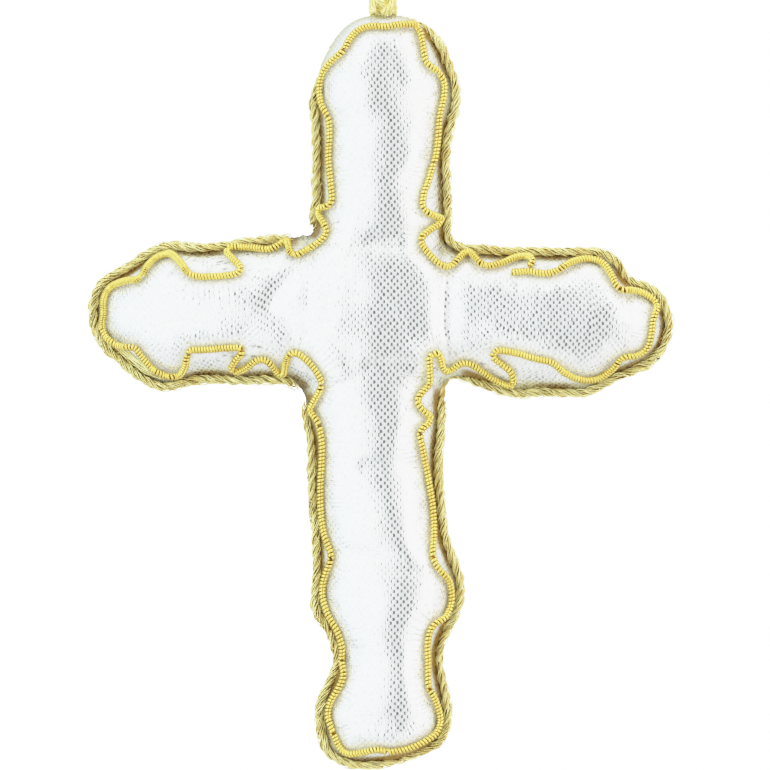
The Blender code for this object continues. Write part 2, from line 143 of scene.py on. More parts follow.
# %% [markdown]
# A yarn is a round bevel on a route. Blender makes it as a curve, and the mesh of that curve
# already has a map, with the length in one direction and the way round in the other. The map is
# stretched to millimetres, so that a pattern keeps its scale on a long yarn and on a short one.

# %% Yarns
def add_yarn(body, route, radius, tapers=(1.0, 1.0), sides=6):
    """Adds a round yarn along a route in metres, its map in millimetres, its ends tapered."""
    line = bpy.data.curves.new("yarn", "CURVE")
    line.dimensions = "3D"
    line.bevel_depth = radius
    line.bevel_resolution = sides // 2 - 2
    line.use_fill_caps = True
    spline = line.splines.new("POLY")
    spline.points.add(len(route) - 1)
    spline.points.foreach_set("co", [value for place in route for value in (*place, 1.0)])
    for number, beside, end in ((0, 1, tapers[0]), (-1, -2, tapers[1])):
        spline.points[number].radius = end
        spline.points[beside].radius = (end + 1) / 2
    holder = bpy.data.objects.new("yarn", line)
    mesh = bpy.data.meshes.new_from_object(holder)
    grid = mesh.uv_layers[0].data
    values = np.zeros(len(grid) * 2, np.float32)
    grid.foreach_get("uv", values)
    values[0::2] *= route_length(route) / MM
    grid.foreach_set("uv", values)
    body.from_mesh(mesh)
    bpy.data.objects.remove(holder)
    bpy.data.curves.remove(line)
    bpy.data.meshes.remove(mesh)


trial = bmesh.new()
add_yarn(trial, [Vector((0, 0, 0)), Vector((0, 0, MM)), Vector((0, 0, 2 * MM))], 0.1 * MM)
print("a test yarn of 2 mm has", len(trial.faces), "faces")
trial.free()

# %% [markdown]
# Each finished piece is one mesh at the origin. It rides on the part's only body and takes the
# place of one solid.

# %% Finishing a piece
def finish_piece(name, body, replaced):
    """Welds a bmesh into a finished piece that stands for a solid and rides with it."""
    bmesh.ops.remove_doubles(body, verts=body.verts, dist=1e-7)
    mesh = bpy.data.meshes.new(name)
    body.to_mesh(mesh)
    body.free()
    mesh.shade_smooth()
    piece = bpy.data.objects.new(name, mesh)
    bpy.context.scene.collection.objects.link(piece)
    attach(piece, "root")
    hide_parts(replaced)
    return piece


print("solids that wait for a piece:", len(nodes))

# %% [markdown]
# Twisting needs a pair of directions square to the route that turn as little as possible.
# They are carried along from step to step. A ply then goes round the route on a helix, and the
# same function lays plies in a cord, yarns in a ply, and the wire of a purl round its hollow.
# The Screw modifier also makes a helix, but only round a straight line.

# %% Twisting
def carried_frames(route):
    """A direction along and two square to it for each place on a route."""
    frames = []
    side = None
    for number, place in enumerate(route):
        before = route[max(0, number - 1)]
        after = route[min(len(route) - 1, number + 1)]
        along = (after - before).normalized()
        if side is None:
            side = along.orthogonal().normalized()
        side = (side - along * side.dot(along)).normalized()
        frames.append((along, side, along.cross(side)))
    return frames


def twisted(route, radius, pitch, phase=0.0):
    """The places of a line that winds round a route at a radius, one turn in each pitch."""
    winding = []
    travelled = 0.0
    for number, (place, (_, side, other)) in enumerate(zip(route, carried_frames(route))):
        if number:
            travelled += (place - route[number - 1]).length
        angle = phase + math.tau * travelled / pitch
        winding.append(place + (side * math.cos(angle) + other * math.sin(angle)) * radius)
    return winding


straight = [Vector((0, 0, step * MM)) for step in range(20)]
wound = twisted(straight, 0.4 * MM, 5.0 * MM)
print("19 mm of route, wound 0.4 mm off it, is", round(route_length(wound) / MM, 2), "mm of yarn")

# %% [markdown]
# No hand lays a yarn quite evenly. Smooth noise moves its places a little, and as the noise is
# smooth, the yarn wanders and never kinks. Blender starts its noise vectors from the clock
# unless they are seeded, so they get a seed here, and each run gives the same cord.

# %% Uneven hand
UNEVEN_SCALE = 0.6
UNEVEN_SEED = 4
noise.seed_set(UNEVEN_SEED)


def unsettled(route, amount, seed):
    """The same route, its places moved a little by smooth noise, as if laid by hand."""
    shift = Vector((seed * 7.3, seed * 3.1, seed * 5.7))
    return [place + noise.noise_vector(place / MM * UNEVEN_SCALE + shift) * amount for place in route]


moves = [(new - old).length for new, old in zip(unsettled(straight, 0.2 * MM, 1), straight)]
print("an unsettled yarn strays up to", round(max(moves) / MM, 2), "mm")

# %% [markdown]
# The loop that hangs the cross is one flat plait, doubled over, with both ends in the top seam,
# one behind the other. The photograph shows only its lowest part, so the rest of its middle line
# is drawn as such loops hang. The table holds one side, how far behind the middle and how high.

# %% Middle line of the loop
LOOP_TOP = 93.8
LOOP_SIDE = (
    (1.9, 53.6), (1.9, 56.5), (2.2, 60.5), (3.0, 65.5), (4.2, 70.5), (5.4, 75.5), (6.2, 80.0),
    (6.5, 84.4), (6.0, 88.3), (4.5, 91.4), (2.4, 93.2), (0.0, LOOP_TOP),
)


def loop_line(step):
    """Middle line of the loop, depth and up, from the front end over the top to the back end."""
    front = [(-depth, up) for depth, up in LOOP_SIDE]
    return smooth_route(front + list(reversed(LOOP_SIDE))[1:], step)


print("the loop is", round(route_length(loop_line(1.0)), 1), "mm long, seam to seam")

# %% [markdown]
# The plait has three strands. Each swings from side to side on a sine and passes over and under
# on a sine of twice that speed, a third of a turn behind the strand before it, which is all that
# a plait is. Each strand is a bundle of fine yarns. The loop counts as a cord that leaves the
# cross at its top seam and goes back into it, as long as its middle line.

# %% Plaited hanging loop
PLAIT_WIDTH = 5.6
PLAIT_STRAND = 1.6
PLAIT_LIFT = 0.6
PLAIT_PITCH = 12.0
PLAIT_STEP = 0.5
PLAIT_YARNS = 5
PLAIT_YARN_RADIUS = 0.3
PLAIT_YARN_TWIST = -7.0


def plait_strand(line, number):
    """The way of one strand of the plait, in metres."""
    swing = (PLAIT_WIDTH - PLAIT_STRAND) / 2
    way = []
    for index, middle in enumerate(line):
        before = line[max(0, index - 1)]
        after = line[min(len(line) - 1, index + 1)]
        along = (after - before).normalized()
        outward = Vector((-along.y, along.x))
        turn = math.tau * (index * PLAIT_STEP / PLAIT_PITCH + number / 3)
        place = middle + outward * PLAIT_LIFT * math.sin(2 * turn)
        way.append(spot(swing * math.sin(turn), place.y, place.x))
    return way


def make_loop():
    """The whole plait, yarn by yarn."""
    body = bmesh.new()
    line = loop_line(PLAIT_STEP)
    for strand in range(3):
        way = plait_strand(line, strand)
        ring = PLAIT_STRAND / 2 - PLAIT_YARN_RADIUS
        for yarn in range(PLAIT_YARNS):
            phase = math.tau * yarn / PLAIT_YARNS
            yarn_way = twisted(way, ring * MM, PLAIT_YARN_TWIST * MM, phase)
            add_yarn(body, yarn_way, PLAIT_YARN_RADIUS * MM)
    return finish_piece("plaited_loop", body, "hanging_loop")


plaited_loop = make_loop()

# %% [markdown]
# The cross itself is stuffed cloth.
# Its solid is coarse and faceted. A copy of it is welded and its triangles are joined in pairs
# again, so that two levels of subdivision round it evenly. The seam, where front and back meet,
# is creased, or the subdivision would shrink it. Working on a copy leaves the solid as it is.

# %% Smooth blank of the cross
def welded_copy(node, levels):
    """A subdivided copy of a solid, its loose triangles welded and paired first."""
    body = bmesh.new()
    body.from_mesh(node.data)
    bmesh.ops.remove_doubles(body, verts=body.verts, dist=1e-6)
    bmesh.ops.join_triangles(
        body, faces=body.faces, angle_face_threshold=math.radians(60),
        angle_shape_threshold=math.radians(70),
    )
    crease = body.edges.layers.float.new("crease_edge")
    for edge in body.edges:
        facing = [face.normal.y < 0 for face in edge.link_faces]
        if True in facing and False in facing:
            edge[crease] = 1.0
    mesh = bpy.data.meshes.new("blank")
    body.to_mesh(mesh)
    left = sum(len(face.verts) == 3 for face in body.faces)
    print("blank:", len(body.faces), "faces,", left, "of them triangles")
    body.free()
    blank = bpy.data.objects.new("blank", mesh)
    bpy.context.scene.collection.objects.link(blank)
    rounding = blank.modifiers.new("rounding", "SUBSURF")
    rounding.levels = levels
    rounding.render_levels = levels
    shown = blank.evaluated_get(bpy.context.evaluated_depsgraph_get())
    smooth = bpy.data.meshes.new_from_object(shown)
    bpy.data.objects.remove(blank)
    return smooth


cloth_mesh = welded_copy(nodes["padded_cross"], 2)
print("cloth:", len(cloth_mesh.vertices), "corners")

# %% [markdown]
# The stitching shapes the cloth before any gold is laid on it, so the stitched lines come first.
# Each row of this table is one cut length of purl, with the places it passes, across and up, in
# order from the top of the cross and leftwards round it. They were read off, as a maker
# would draw them on the cloth, and the same rows place the springs of gold later on.

# %% Stitched lines
PURL = (
    ((6.0, 51.6), (3.4, 51.6), (0.5, 51.2), (-2.4, 51.3), (-4.8, 50.4), (-6.2, 48.8), (-6.9, 47.5)),
    ((-7.5, 46.5), (-9.3, 45.1), (-11.1, 42.9), (-11.8, 40.2), (-11.5, 37.2), (-10.6, 35.3)),
    ((-10.1, 34.4), (-9.9, 31.5), (-10.1, 27.4), (-9.8, 23.2), (-9.5, 20.0), (-9.8, 18.5),
     (-11.0, 17.9), (-12.0, 17.8)),
    ((-11.9, 16.4), (-11.0, 14.9), (-10.5, 13.3), (-11.5, 11.8), (-13.5, 10.4), (-16.0, 9.0)),
    ((-17.0, 9.2), (-17.5, 10.7), (-18.0, 12.0)),
    ((-19.2, 11.0), (-21.2, 10.2), (-23.6, 10.4), (-26.4, 10.6), (-28.8, 10.7)),
    ((-29.0, 9.7), (-27.4, 8.0), (-26.3, 6.7), (-27.2, 5.6), (-30.0, 5.2), (-33.4, 5.1),
     (-35.4, 5.3)),
    ((-36.3, 5.9), (-37.6, 7.8), (-39.5, 9.4), (-42.0, 8.8), (-43.7, 7.2), (-44.5, 5.8)),
    ((-45.3, 4.7), (-48.2, 4.3), (-50.9, 3.1), (-52.0, 0.8), (-52.0, -1.6), (-52.4, -3.8)),
    ((-52.2, -4.8), (-51.2, -6.5), (-49.2, -7.7), (-47.2, -8.0)),
    ((-46.2, -7.9), (-44.6, -10.0), (-42.6, -12.2), (-40.0, -13.4), (-37.8, -13.2),
     (-36.7, -11.6), (-36.4, -10.0)),
    ((-35.9, -8.6), (-33.0, -8.5), (-29.4, -8.2), (-26.2, -8.1)),
    ((-25.9, -8.9), (-27.4, -10.6), (-28.2, -12.2)),
    ((-27.3, -12.7), (-25.4, -11.9), (-23.5, -10.5), (-21.6, -10.5), (-20.2, -12.0),
     (-19.1, -13.2)),
    ((-18.4, -13.0), (-18.1, -11.4), (-17.7, -10.0)),
    ((-17.0, -9.0), (-15.2, -9.5), (-13.3, -11.3), (-12.0, -13.1), (-11.4, -14.5)),
    ((-11.3, -15.2), (-12.2, -16.9), (-13.1, -18.5)),
    ((-13.6, -19.6), (-12.8, -20.8), (-12.0, -22.0)),
    ((-11.7, -23.0), (-11.3, -26.0), (-11.4, -30.2), (-11.6, -34.0), (-11.5, -38.4),
     (-11.0, -42.2), (-10.1, -44.9), (-9.5, -46.7)),
    ((-9.7, -47.6), (-10.9, -50.8), (-11.2, -54.0), (-10.2, -57.5), (-8.5, -60.5),
     (-7.6, -63.4), (-7.7, -65.6)),
    ((-7.6, -66.4), (-7.3, -68.6), (-8.2, -71.0), (-9.7, -73.6), (-10.2, -76.2), (-9.4, -79.0)),
    ((-9.0, -79.9), (-8.2, -81.9), (-6.6, -83.2), (-4.2, -83.0), (-1.4, -82.4), (0.5, -82.7)),
    ((1.3, -82.8), (4.6, -82.2), (7.6, -80.9), (9.9, -79.3), (10.6, -76.8), (9.9, -73.8),
     (8.8, -71.5)),
    ((8.4, -70.6), (8.3, -66.4), (8.3, -62.2), (9.3, -59.4), (11.7, -57.7), (12.7, -54.6),
     (12.2, -51.2), (10.4, -49.1), (9.3, -47.2)),
    ((9.2, -46.2), (9.4, -42.0), (9.2, -37.6), (8.5, -33.0), (7.6, -28.2), (6.8, -24.4)),
    ((6.9, -23.4), (7.7, -22.7), (8.6, -22.0)),
    ((8.8, -20.8), (7.3, -19.6), (6.4, -18.0), (7.2, -16.4), (8.5, -15.2)),
    ((8.7, -14.3), (8.6, -11.8), (8.6, -9.6)),
    ((10.0, -9.0), (10.7, -10.2), (11.1, -11.9), (11.9, -12.6)),
    ((12.8, -12.2), (14.3, -11.1), (16.2, -11.2), (18.8, -12.9), (21.2, -14.4), (23.8, -15.3)),
    ((24.2, -14.3), (23.4, -12.4), (21.6, -11.0), (20.1, -9.6)),
    ((20.9, -8.6), (24.4, -9.1), (27.8, -10.1), (31.1, -10.9), (33.4, -12.7), (36.4, -14.0),
     (39.4, -14.0), (42.0, -12.5), (43.6, -10.7)),
    ((44.4, -9.9), (46.9, -9.6), (48.8, -8.2), (49.6, -5.6), (49.9, -3.0), (50.7, -0.7)),
    ((50.4, 0.5), (48.4, 1.9), (46.2, 2.5), (44.2, 2.5)),
    ((43.2, 3.1), (42.2, 5.3), (40.6, 7.6), (37.9, 8.4), (35.0, 7.8), (32.8, 6.5)),
    ((31.9, 5.9), (29.6, 5.6), (26.8, 6.0), (23.8, 5.8)),
    ((27.0, 7.0), (27.6, 7.8), (27.2, 8.7), (26.0, 8.9), (24.4, 8.6), (22.2, 7.7), (19.4, 6.9)),
    ((18.3, 7.2), (17.2, 8.4), (15.8, 9.7), (14.4, 8.9), (13.2, 7.5)),
    ((12.3, 6.8), (10.5, 7.3), (8.5, 9.2), (7.1, 11.1)),
    ((7.0, 12.2), (8.5, 13.5), (10.4, 14.8)),
    ((10.8, 15.8), (9.2, 16.4), (7.8, 17.1)),
    ((7.3, 18.0), (7.6, 20.4), (8.4, 22.6), (9.2, 25.4)),
    ((9.6, 26.6), (10.1, 30.0), (10.5, 34.6), (11.3, 38.4), (11.3, 40.8), (10.6, 42.4)),
    ((10.0, 43.1), (9.0, 43.7), (8.1, 44.4)),
    ((7.8, 45.3), (7.4, 47.8), (6.9, 50.4)),
)

# %% [markdown]
# The edge cord is sewn to the seam, one length round most of the cross and another round the left
# arm. The tables hold the places it passes, across and up. All the sewn lines go into search
# trees, because the cloth, the cord and the finishes ask again and again how near they are.

# %% Sewn lines
LONG_CORD = (
    (-12.9, 13.6), (-12.9, 16.4), (-12.3, 19.2), (-12.4, 22.8), (-12.3, 27.0), (-12.4, 31.0),
    (-12.7, 35.0), (-12.9, 37.6), (-12.3, 40.0), (-11.2, 42.6), (-10.1, 45.5), (-8.7, 48.0),
    (-6.8, 50.2), (-4.3, 51.9), (-1.0, 52.1), (2.4, 52.3), (5.0, 52.3), (7.4, 51.3),
    (9.3, 49.8), (10.9, 47.4), (12.0, 44.6), (13.1, 41.8), (13.6, 38.6), (13.3, 35.9),
    (12.4, 32.6), (11.8, 29.0), (11.6, 26.0), (11.9, 21.0), (12.0, 16.6), (11.8, 13.8),
    (12.1, 12.2), (13.3, 10.9), (15.4, 10.2), (18.5, 10.1), (22.0, 9.8), (27.0, 9.9),
    (32.0, 9.7), (37.0, 9.8), (39.7, 9.8), (42.2, 8.7), (43.9, 6.9), (44.9, 5.0),
    (46.6, 3.9), (49.2, 3.1), (51.3, 1.3), (52.7, -1.8), (52.9, -4.8), (51.8, -8.2),
    (49.6, -10.7), (46.4, -12.3), (43.2, -13.6), (40.4, -15.2), (37.2, -16.5), (33.0, -16.4),
    (29.0, -16.4), (25.6, -16.7), (21.6, -15.9), (17.8, -14.6), (14.8, -13.4), (12.6, -13.2),
    (11.2, -14.2), (10.8, -16.6), (10.9, -20.0), (10.8, -23.0), (10.3, -27.0), (10.2, -31.0),
    (10.6, -35.5), (11.0, -39.5), (11.4, -43.0), (12.5, -46.0), (13.9, -49.6), (14.4, -53.2),
    (13.7, -56.8), (12.0, -60.0), (10.7, -63.0), (10.4, -66.0), (11.0, -69.6), (11.7, -73.4),
    (12.0, -76.4), (11.4, -79.4), (10.2, -81.3), (7.5, -82.8), (3.6, -84.3), (-0.4, -85.3),
    (-4.4, -85.5), (-8.0, -84.6), (-10.3, -82.8), (-11.3, -79.8), (-11.9, -76.0), (-11.2, -73.0),
    (-9.8, -69.8), (-8.5, -66.6), (-8.8, -63.8), (-10.2, -60.3), (-12.1, -57.5), (-12.7, -54.6),
    (-12.3, -50.6), (-12.4, -46.4), (-12.5, -42.4), (-12.8, -37.8), (-13.2, -33.6),
    (-13.2, -29.4), (-13.4, -25.4), (-14.2, -22.0), (-14.4, -19.4), (-14.3, -17.6),
)
LEFT_CORD = (
    (-15.2, -15.6), (-17.4, -14.5), (-20.0, -14.0), (-24.0, -14.1), (-28.0, -14.1),
    (-33.0, -13.9), (-36.8, -14.6), (-40.2, -15.3), (-43.2, -14.6), (-46.4, -12.6),
    (-49.6, -9.9), (-52.3, -7.2), (-53.8, -3.9), (-54.1, -0.6), (-53.4, 2.7), (-51.2, 5.0),
    (-48.2, 6.5), (-45.5, 8.3), (-42.8, 10.1), (-39.6, 10.9), (-35.4, 10.6), (-31.4, 10.7),
    (-27.0, 11.4), (-23.0, 11.8), (-19.6, 12.2), (-16.4, 12.4),
)

FLAT_STEP = 0.4


def flat_tree(tables):
    """Search tree of routes in the plane of the cross, in millimetres."""
    places = [place for points in tables for place in smooth_route(points, FLAT_STEP)]
    tree = KDTree(len(places))
    for number, place in enumerate(places):
        tree.insert((place.x, place.y, 0.0), number)
    tree.balance()
    return tree


def on_table(place):
    """A place in metres, across and up in millimetres, as the tables have it."""
    return Vector((place.x / MM, place.z / MM + HANG_HEIGHT, 0.0))


purl_tree = flat_tree(PURL)
cord_tree = flat_tree((LONG_CORD, LEFT_CORD))
print("sewn lines:", len(PURL), "lengths of purl and 2 of cord")

# %% [markdown]
# Hand stuffing is never even. The crest of the cloth wanders from side to side up the shaft, and
# the dark stripe of the mirrored room wanders with it. Each row of this table is a height on the
# shaft and how far across the crest lies there, read off the photograph.

# %% Crest of the shaft
CREST = (
    (52.0, 0.6), (46.0, -0.6), (41.0, -1.4), (37.0, -1.4), (33.0, 0.8), (29.0, 0.9), (24.0, 0.2),
    (18.0, 0.0), (12.0, 0.2), (0.0, 0.6), (-12.0, 0.0), (-22.0, 0.2), (-32.0, 0.8), (-42.0, 2.0),
    (-52.0, 2.3), (-62.0, 1.6), (-72.0, 2.0), (-78.0, 3.4), (-84.0, 4.4),
)


def crest_at(up):
    """How far across the crest lies at a height."""
    heights = [row[0] for row in reversed(CREST)]
    return float(np.interp(up, heights, [row[1] for row in reversed(CREST)]))


print("crest wanders from", round(crest_at(41.0), 1), "to", round(crest_at(-84.0), 1), "mm")

# %% [markdown]
# Creases part the crossing from the arms and the shaft, two of them meet on the left arm like an
# arrow head, and the shaft is pinched above its foot. Each row is a crease: the line it follows,
# its depth and its width. A depth below nothing is a bulge. The lines are drawn, because no
# simulation would put the folds where this maker's hand put them.

# %% Creases
CREASES = (
    (((-15.4, 7.2), (-18.0, 3.8), (-20.9, 0.0)), 0.68, 1.75),
    (((-21.6, 3.0), (-22.0, -4.0)), -0.26, 3.2),
    (((-17.6, -3.0), (-16.0, -4.8), (-14.4, -6.4)), 0.52, 2.4),
    (((11.9, 9.0), (12.0, 0.0), (11.9, -9.0)), 0.62, 1.8),
    (((-2.6, -11.2), (2.0, -11.0), (7.0, -11.2)), 0.5, 0.85),
    (((-2.0, 11.8), (2.0, 12.6), (7.0, 13.8)), 0.4, 0.9),
    (((-2.2, 50.0), (0.5, 50.4), (3.2, 50.2)), -0.35, 3.6),
    (((0.0, 36.0), (0.2, 31.0), (0.0, 26.0)), 0.14, 3.2),
    (((-2.4, 3.0), (-2.2, -4.0), (-2.2, -10.0)), -0.24, 3.0),
    (((17.0, 5.4), (25.0, 6.0), (33.0, 5.0)), -0.42, 3.6),
    (((44.0, -3.0), (47.0, -5.0)), -0.35, 3.5),
    (((-3.5, -29.9), (0.5, -29.6), (6.0, -29.3)), 0.42, 0.95),
    (((-8.0, -46.3), (-3.0, -46.8), (1.0, -48.0), (6.0, -49.0)), 0.72, 1.8),
)
bulges = sum(depth < 0 for _, depth, _ in CREASES)
print("creases:", len(CREASES) - bulges, "and bulges:", bulges)

# %% [markdown]
# Now the crest, the creases and two sizes of soft unevenness move the front of the cloth in
# depth. A Displace modifier could read a texture for this, but the tables are in places on the
# cross, so the corners are moved one by one. Near the seam, where the cloth is flat, the motion
# fades out.

# %% Uneven stuffing
CREST_WIDTH = 11.0
CREST_LEAN = 1.1
SHAFT_HALF = 13.0
SHAFT_EDGE = 4.0
SHAFT_FADE = 6.0
SWELL_HEIGHT = 0.22
SWELL_SCALE = 0.13
SWELL_SEED = 11.0
LUMP_HEIGHT = 0.08
LUMP_SCALE = 0.3
SEAM_FADE = 2.0


def stuff_unevenly(mesh):
    """Moves the front of the cloth in depth, by the crest, the creases and two sizes of noise."""
    trees = [(flat_tree((points,)), depth, width) for points, depth, width in CREASES]
    shift = Vector((SWELL_SEED, 0, 0))
    for vert in mesh.vertices:
        place = on_table(vert.co)
        across = max(-SHAFT_HALF, min(SHAFT_HALF, place.x)) / CREST_WIDTH
        on_shaft = min(1.0, max(0.0, (SHAFT_HALF + SHAFT_EDGE - abs(place.x)) / SHAFT_FADE))
        proud = bent_back(place.x) * MM - vert.co.y
        if proud <= 0.0:
            continue
        lean = CREST_LEAN * crest_at(place.y) / CREST_WIDTH * across * on_shaft
        swell = noise.noise(place * SWELL_SCALE + shift) * SWELL_HEIGHT * MM
        swell += noise.noise(place * LUMP_SCALE + shift) * LUMP_HEIGHT * MM * on_shaft
        sunk = 0.0
        for tree, depth, width in trees:
            sunk += depth * MM * math.exp(-((tree.find(place)[2] / width) ** 2))
        share = min(1.0, proud / (SEAM_FADE * MM))
        vert.co.y -= proud * lean + (swell - sunk) * share


stuff_unevenly(cloth_mesh)
print("front stands", round(-min(vert.co.y for vert in cloth_mesh.vertices) / MM, 2), "mm proud at most")

# %% [markdown]
# Between its stitches the cloth puffs out, and cloth simulation does that best. The seam and the
# lines of purl are held, the stuffing presses from inside, and the cloth is a little larger than
# its pattern, so that it puckers where it is sewn down. It runs many times larger than life,
# because the solver is made for clothes. Only how far each corner moves in depth is kept.

# %% Cloth under pressure
PUFF_SCALE = 20.0
PUFF_FRAMES = 14
PUFF_PRESSURE = 4.0
PUFF_SPARE = 0.03


def puffed_depths(mesh, held):
    """How far each corner moves in depth, in metres, when the cloth is blown up."""
    larger = mesh.copy()
    for vert in larger.vertices:
        vert.co *= PUFF_SCALE
    puff = bpy.data.objects.new("puff", larger)
    bpy.context.scene.collection.objects.link(puff)
    puff.vertex_groups.new(name="held").add(held, 1.0, "REPLACE")
    cloth = puff.modifiers.new("cloth", "CLOTH")
    cloth.settings.use_pressure = True
    cloth.settings.uniform_pressure_force = PUFF_PRESSURE
    cloth.settings.shrink_min = -PUFF_SPARE
    cloth.settings.vertex_group_mass = "held"
    cloth.settings.effector_weights.gravity = 0.0
    cloth.collision_settings.use_collision = False
    cloth.point_cache.frame_end = PUFF_FRAMES
    for number in range(1, PUFF_FRAMES + 1):
        bpy.context.scene.frame_set(number)
    shown = puff.evaluated_get(bpy.context.evaluated_depsgraph_get())
    blown = shown.to_mesh()
    depths = [new.co.y / PUFF_SCALE - old.co.y for new, old in zip(blown.vertices, mesh.vertices)]
    shown.to_mesh_clear()
    bpy.data.objects.remove(puff)
    bpy.data.meshes.remove(larger)
    bpy.context.scene.frame_set(1)
    return depths


print("the cloth will be blown up for", PUFF_FRAMES, "frames at", PUFF_SCALE, "times its size")

# %% [markdown] The motion is capped and eased over its neighbours, because a coarse step of the
# solver can throw a corner too far. On the front it fades out in the middle, where the hand
# stuffing rules.

# %% Puffing between the stitches
PUFF_HELD = 0.6
PUFF_CAP = 0.4
PUFF_EASING = 4
PUFF_FULL = 2.5
PUFF_NONE = 6.0


def puff_out(mesh):
    """Holds the seam and the purl lines, blows the cloth up and keeps a soft share of it."""
    body = bmesh.new()
    body.from_mesh(mesh)
    body.verts.ensure_lookup_table()
    near = [purl_tree.find(on_table(v.co))[2] if v.normal.y < 0 else 0.0 for v in body.verts]
    held = []
    for vert in body.verts:
        on_seam = len({face.normal.y < 0 for face in vert.link_faces}) == 2
        if on_seam or (vert.normal.y < 0 and near[vert.index] < PUFF_HELD):
            held.append(vert.index)
    depths = puffed_depths(mesh, held)
    cap = PUFF_CAP * MM
    depths = [max(-cap, min(cap, depth)) for depth in depths]
    beside = [[edge.other_vert(vert).index for edge in vert.link_edges] for vert in body.verts]
    for _ in range(PUFF_EASING):
        around = [sum(depths[other] for other in others) / len(others) for others in beside]
        depths = [(own + mean) / 2 for own, mean in zip(depths, around)]
    for vert, depth, distance in zip(body.verts, depths, near):
        share = (PUFF_NONE - distance) / (PUFF_NONE - PUFF_FULL)
        vert.co.y += depth * min(1.0, max(0.0, share))
    body.to_mesh(mesh)
    body.free()
    print("cloth puffed out, most by", round(max(map(abs, depths)) / MM, 2), "mm,", len(held), "held")


puff_out(cloth_mesh)

# %% [markdown]
# The purl pulls the cloth in where it is stitched down. Behind the seam a narrow lip of cloth is
# drawn out under the cord, and the cord is sewn to it, so no light shows between them. The same
# pass writes on each corner how near it is to the cord and to the seam, for the finish to read.
# A vertex attribute does that better than a painted picture, because it follows the mesh.

# %% Stitches
PRESS_DEPTH = 0.15
PRESS_WIDTH = 0.8
LIP_REACH = 1.5
LIP_LEAST = 0.15
LIP_BACK = 1.1
LIP_BACK_RUN = 0.6
LIP_WIDTH = 0.9
COVERED = 0.9
CORD_SHADE = 0.75
SEAM_SHADE = 1.9


def press_and_draw_out(mesh):
    """Presses the front in along the purl and draws the seam out to a lip behind the cord."""
    body = bmesh.new()
    body.from_mesh(mesh)
    body.normal_update()
    rim = KDTree(len(body.verts))
    pulls = []
    for vert in body.verts:
        if len({face.normal.y < 0 for face in vert.link_faces}) == 2:
            outward = Vector((vert.normal.x, vert.normal.z, 0)).normalized()
            place = on_table(vert.co)
            run = (cord_tree.find(place)[0] - place).dot(outward)
            reach = max(LIP_LEAST, min(LIP_REACH, run))
            back = LIP_BACK * min(1.0, max(0.0, run) / LIP_BACK_RUN)
            rim.insert(vert.co, len(pulls))
            pulls.append(Vector((outward.x * reach, back, outward.y * reach)) * MM)
    rim.balance()
    shaded = body.verts.layers.float.new("near_cord")
    edge = body.verts.layers.float.new("near_seam")
    for vert in body.verts:
        _, number, distance = rim.find(vert.co)
        share = max(0.0, 1.0 - distance / MM / LIP_WIDTH) ** 2
        gap = max(0.0, cord_tree.find(on_table(vert.co))[2] - COVERED) / CORD_SHADE
        sewn_under = min(1.0, pulls[number].y / MM / LIP_BACK)
        # How near the lip behind the cord lies. The finish paints the cord's shadow and its reflected gold
        # there in brown.
        vert[shaded] = math.exp(-(gap**2)) * sewn_under
        # How near the seam lies. The finish paints shade and the mirrored gold there in cream.
        vert[edge] = math.exp(-((distance / MM / SEAM_SHADE) ** 2))
        if vert.normal.y < 0:
            near = purl_tree.find(on_table(vert.co))[2]
            vert.co.y += PRESS_DEPTH * MM * math.exp(-((near / PRESS_WIDTH) ** 2))
        vert.co += pulls[number] * share
    body.to_mesh(mesh)
    body.free()
    longest = max(pull.length for pull in pulls) / MM
    print("seam of", len(pulls), "corners drawn out up to", round(longest, 2), "mm")


bare_mesh = cloth_mesh.copy()
press_and_draw_out(cloth_mesh)

# %% [markdown]
# A woven cloth has threads both ways, and on a stuffed piece they follow the hills. A flat
# projection would stretch them down the slopes. So the cloth is measured from the front and from
# behind over a grid, and the length of cloth is added up from the middle, across and up.

# %% Grid over the cloth
MAP_CELL = 0.5
RAY_START = 0.05


def tree_of(*meshes):
    """One search tree of the meshes as they are."""
    body = bmesh.new()
    for mesh in meshes:
        body.from_mesh(mesh)
    tree = BVHTree.FromBMesh(body)
    body.free()
    return tree


def depth_field(tree, side, columns, rows):
    """Height of the cloth over a grid of places across and up, in millimetres, from one side."""
    field = np.zeros((len(rows), len(columns)))
    for j, up in enumerate(rows):
        for i, across in enumerate(columns):
            start = Vector((across * MM, side * RAY_START, (up - HANG_HEIGHT) * MM))
            hit = tree.ray_cast(start, Vector((0, -side, 0)))[0]
            if hit is not None:
                field[j, i] = hit.y / MM
    return field


def travelled_along(field, axis):
    """Length of cloth from the middle of the grid, where it climbs and falls, in millimetres."""
    steps = np.hypot(np.diff(field, axis=axis), MAP_CELL)
    whole = np.cumsum(steps, axis=axis)
    start = np.zeros_like(np.take(whole, [0], axis=axis))
    whole = np.concatenate([start, whole], axis=axis)
    middle = np.take(whole, [whole.shape[axis] // 2], axis=axis)
    return whole - middle


def read_grid(grid, x, y):
    """Values between the cells of a grid."""
    i = np.clip(x.astype(int), 0, grid.shape[1] - 2)
    j = np.clip(y.astype(int), 0, grid.shape[0] - 2)
    fx, fy = x - i, y - j
    low = grid[j, i] * (1 - fx) + grid[j, i + 1] * fx
    high = grid[j + 1, i] * (1 - fx) + grid[j + 1, i + 1] * fx
    return low * (1 - fy) + high * fy


slope = np.array([[0.0, 0.0], [MAP_CELL, MAP_CELL]])
climb = np.abs(travelled_along(slope, 0)).max()
print("a cell that climbs its own width takes", round(float(climb), 2), "mm of cloth")

# %% [markdown]
# Those lengths become the cloth's own map, in millimetres of thread. The weave that reads it
# keeps its pitch on every slope, as real cloth does, and it doesn't slide when a pose changes.

# %% Thread map
MAP_MARGIN = 2.0


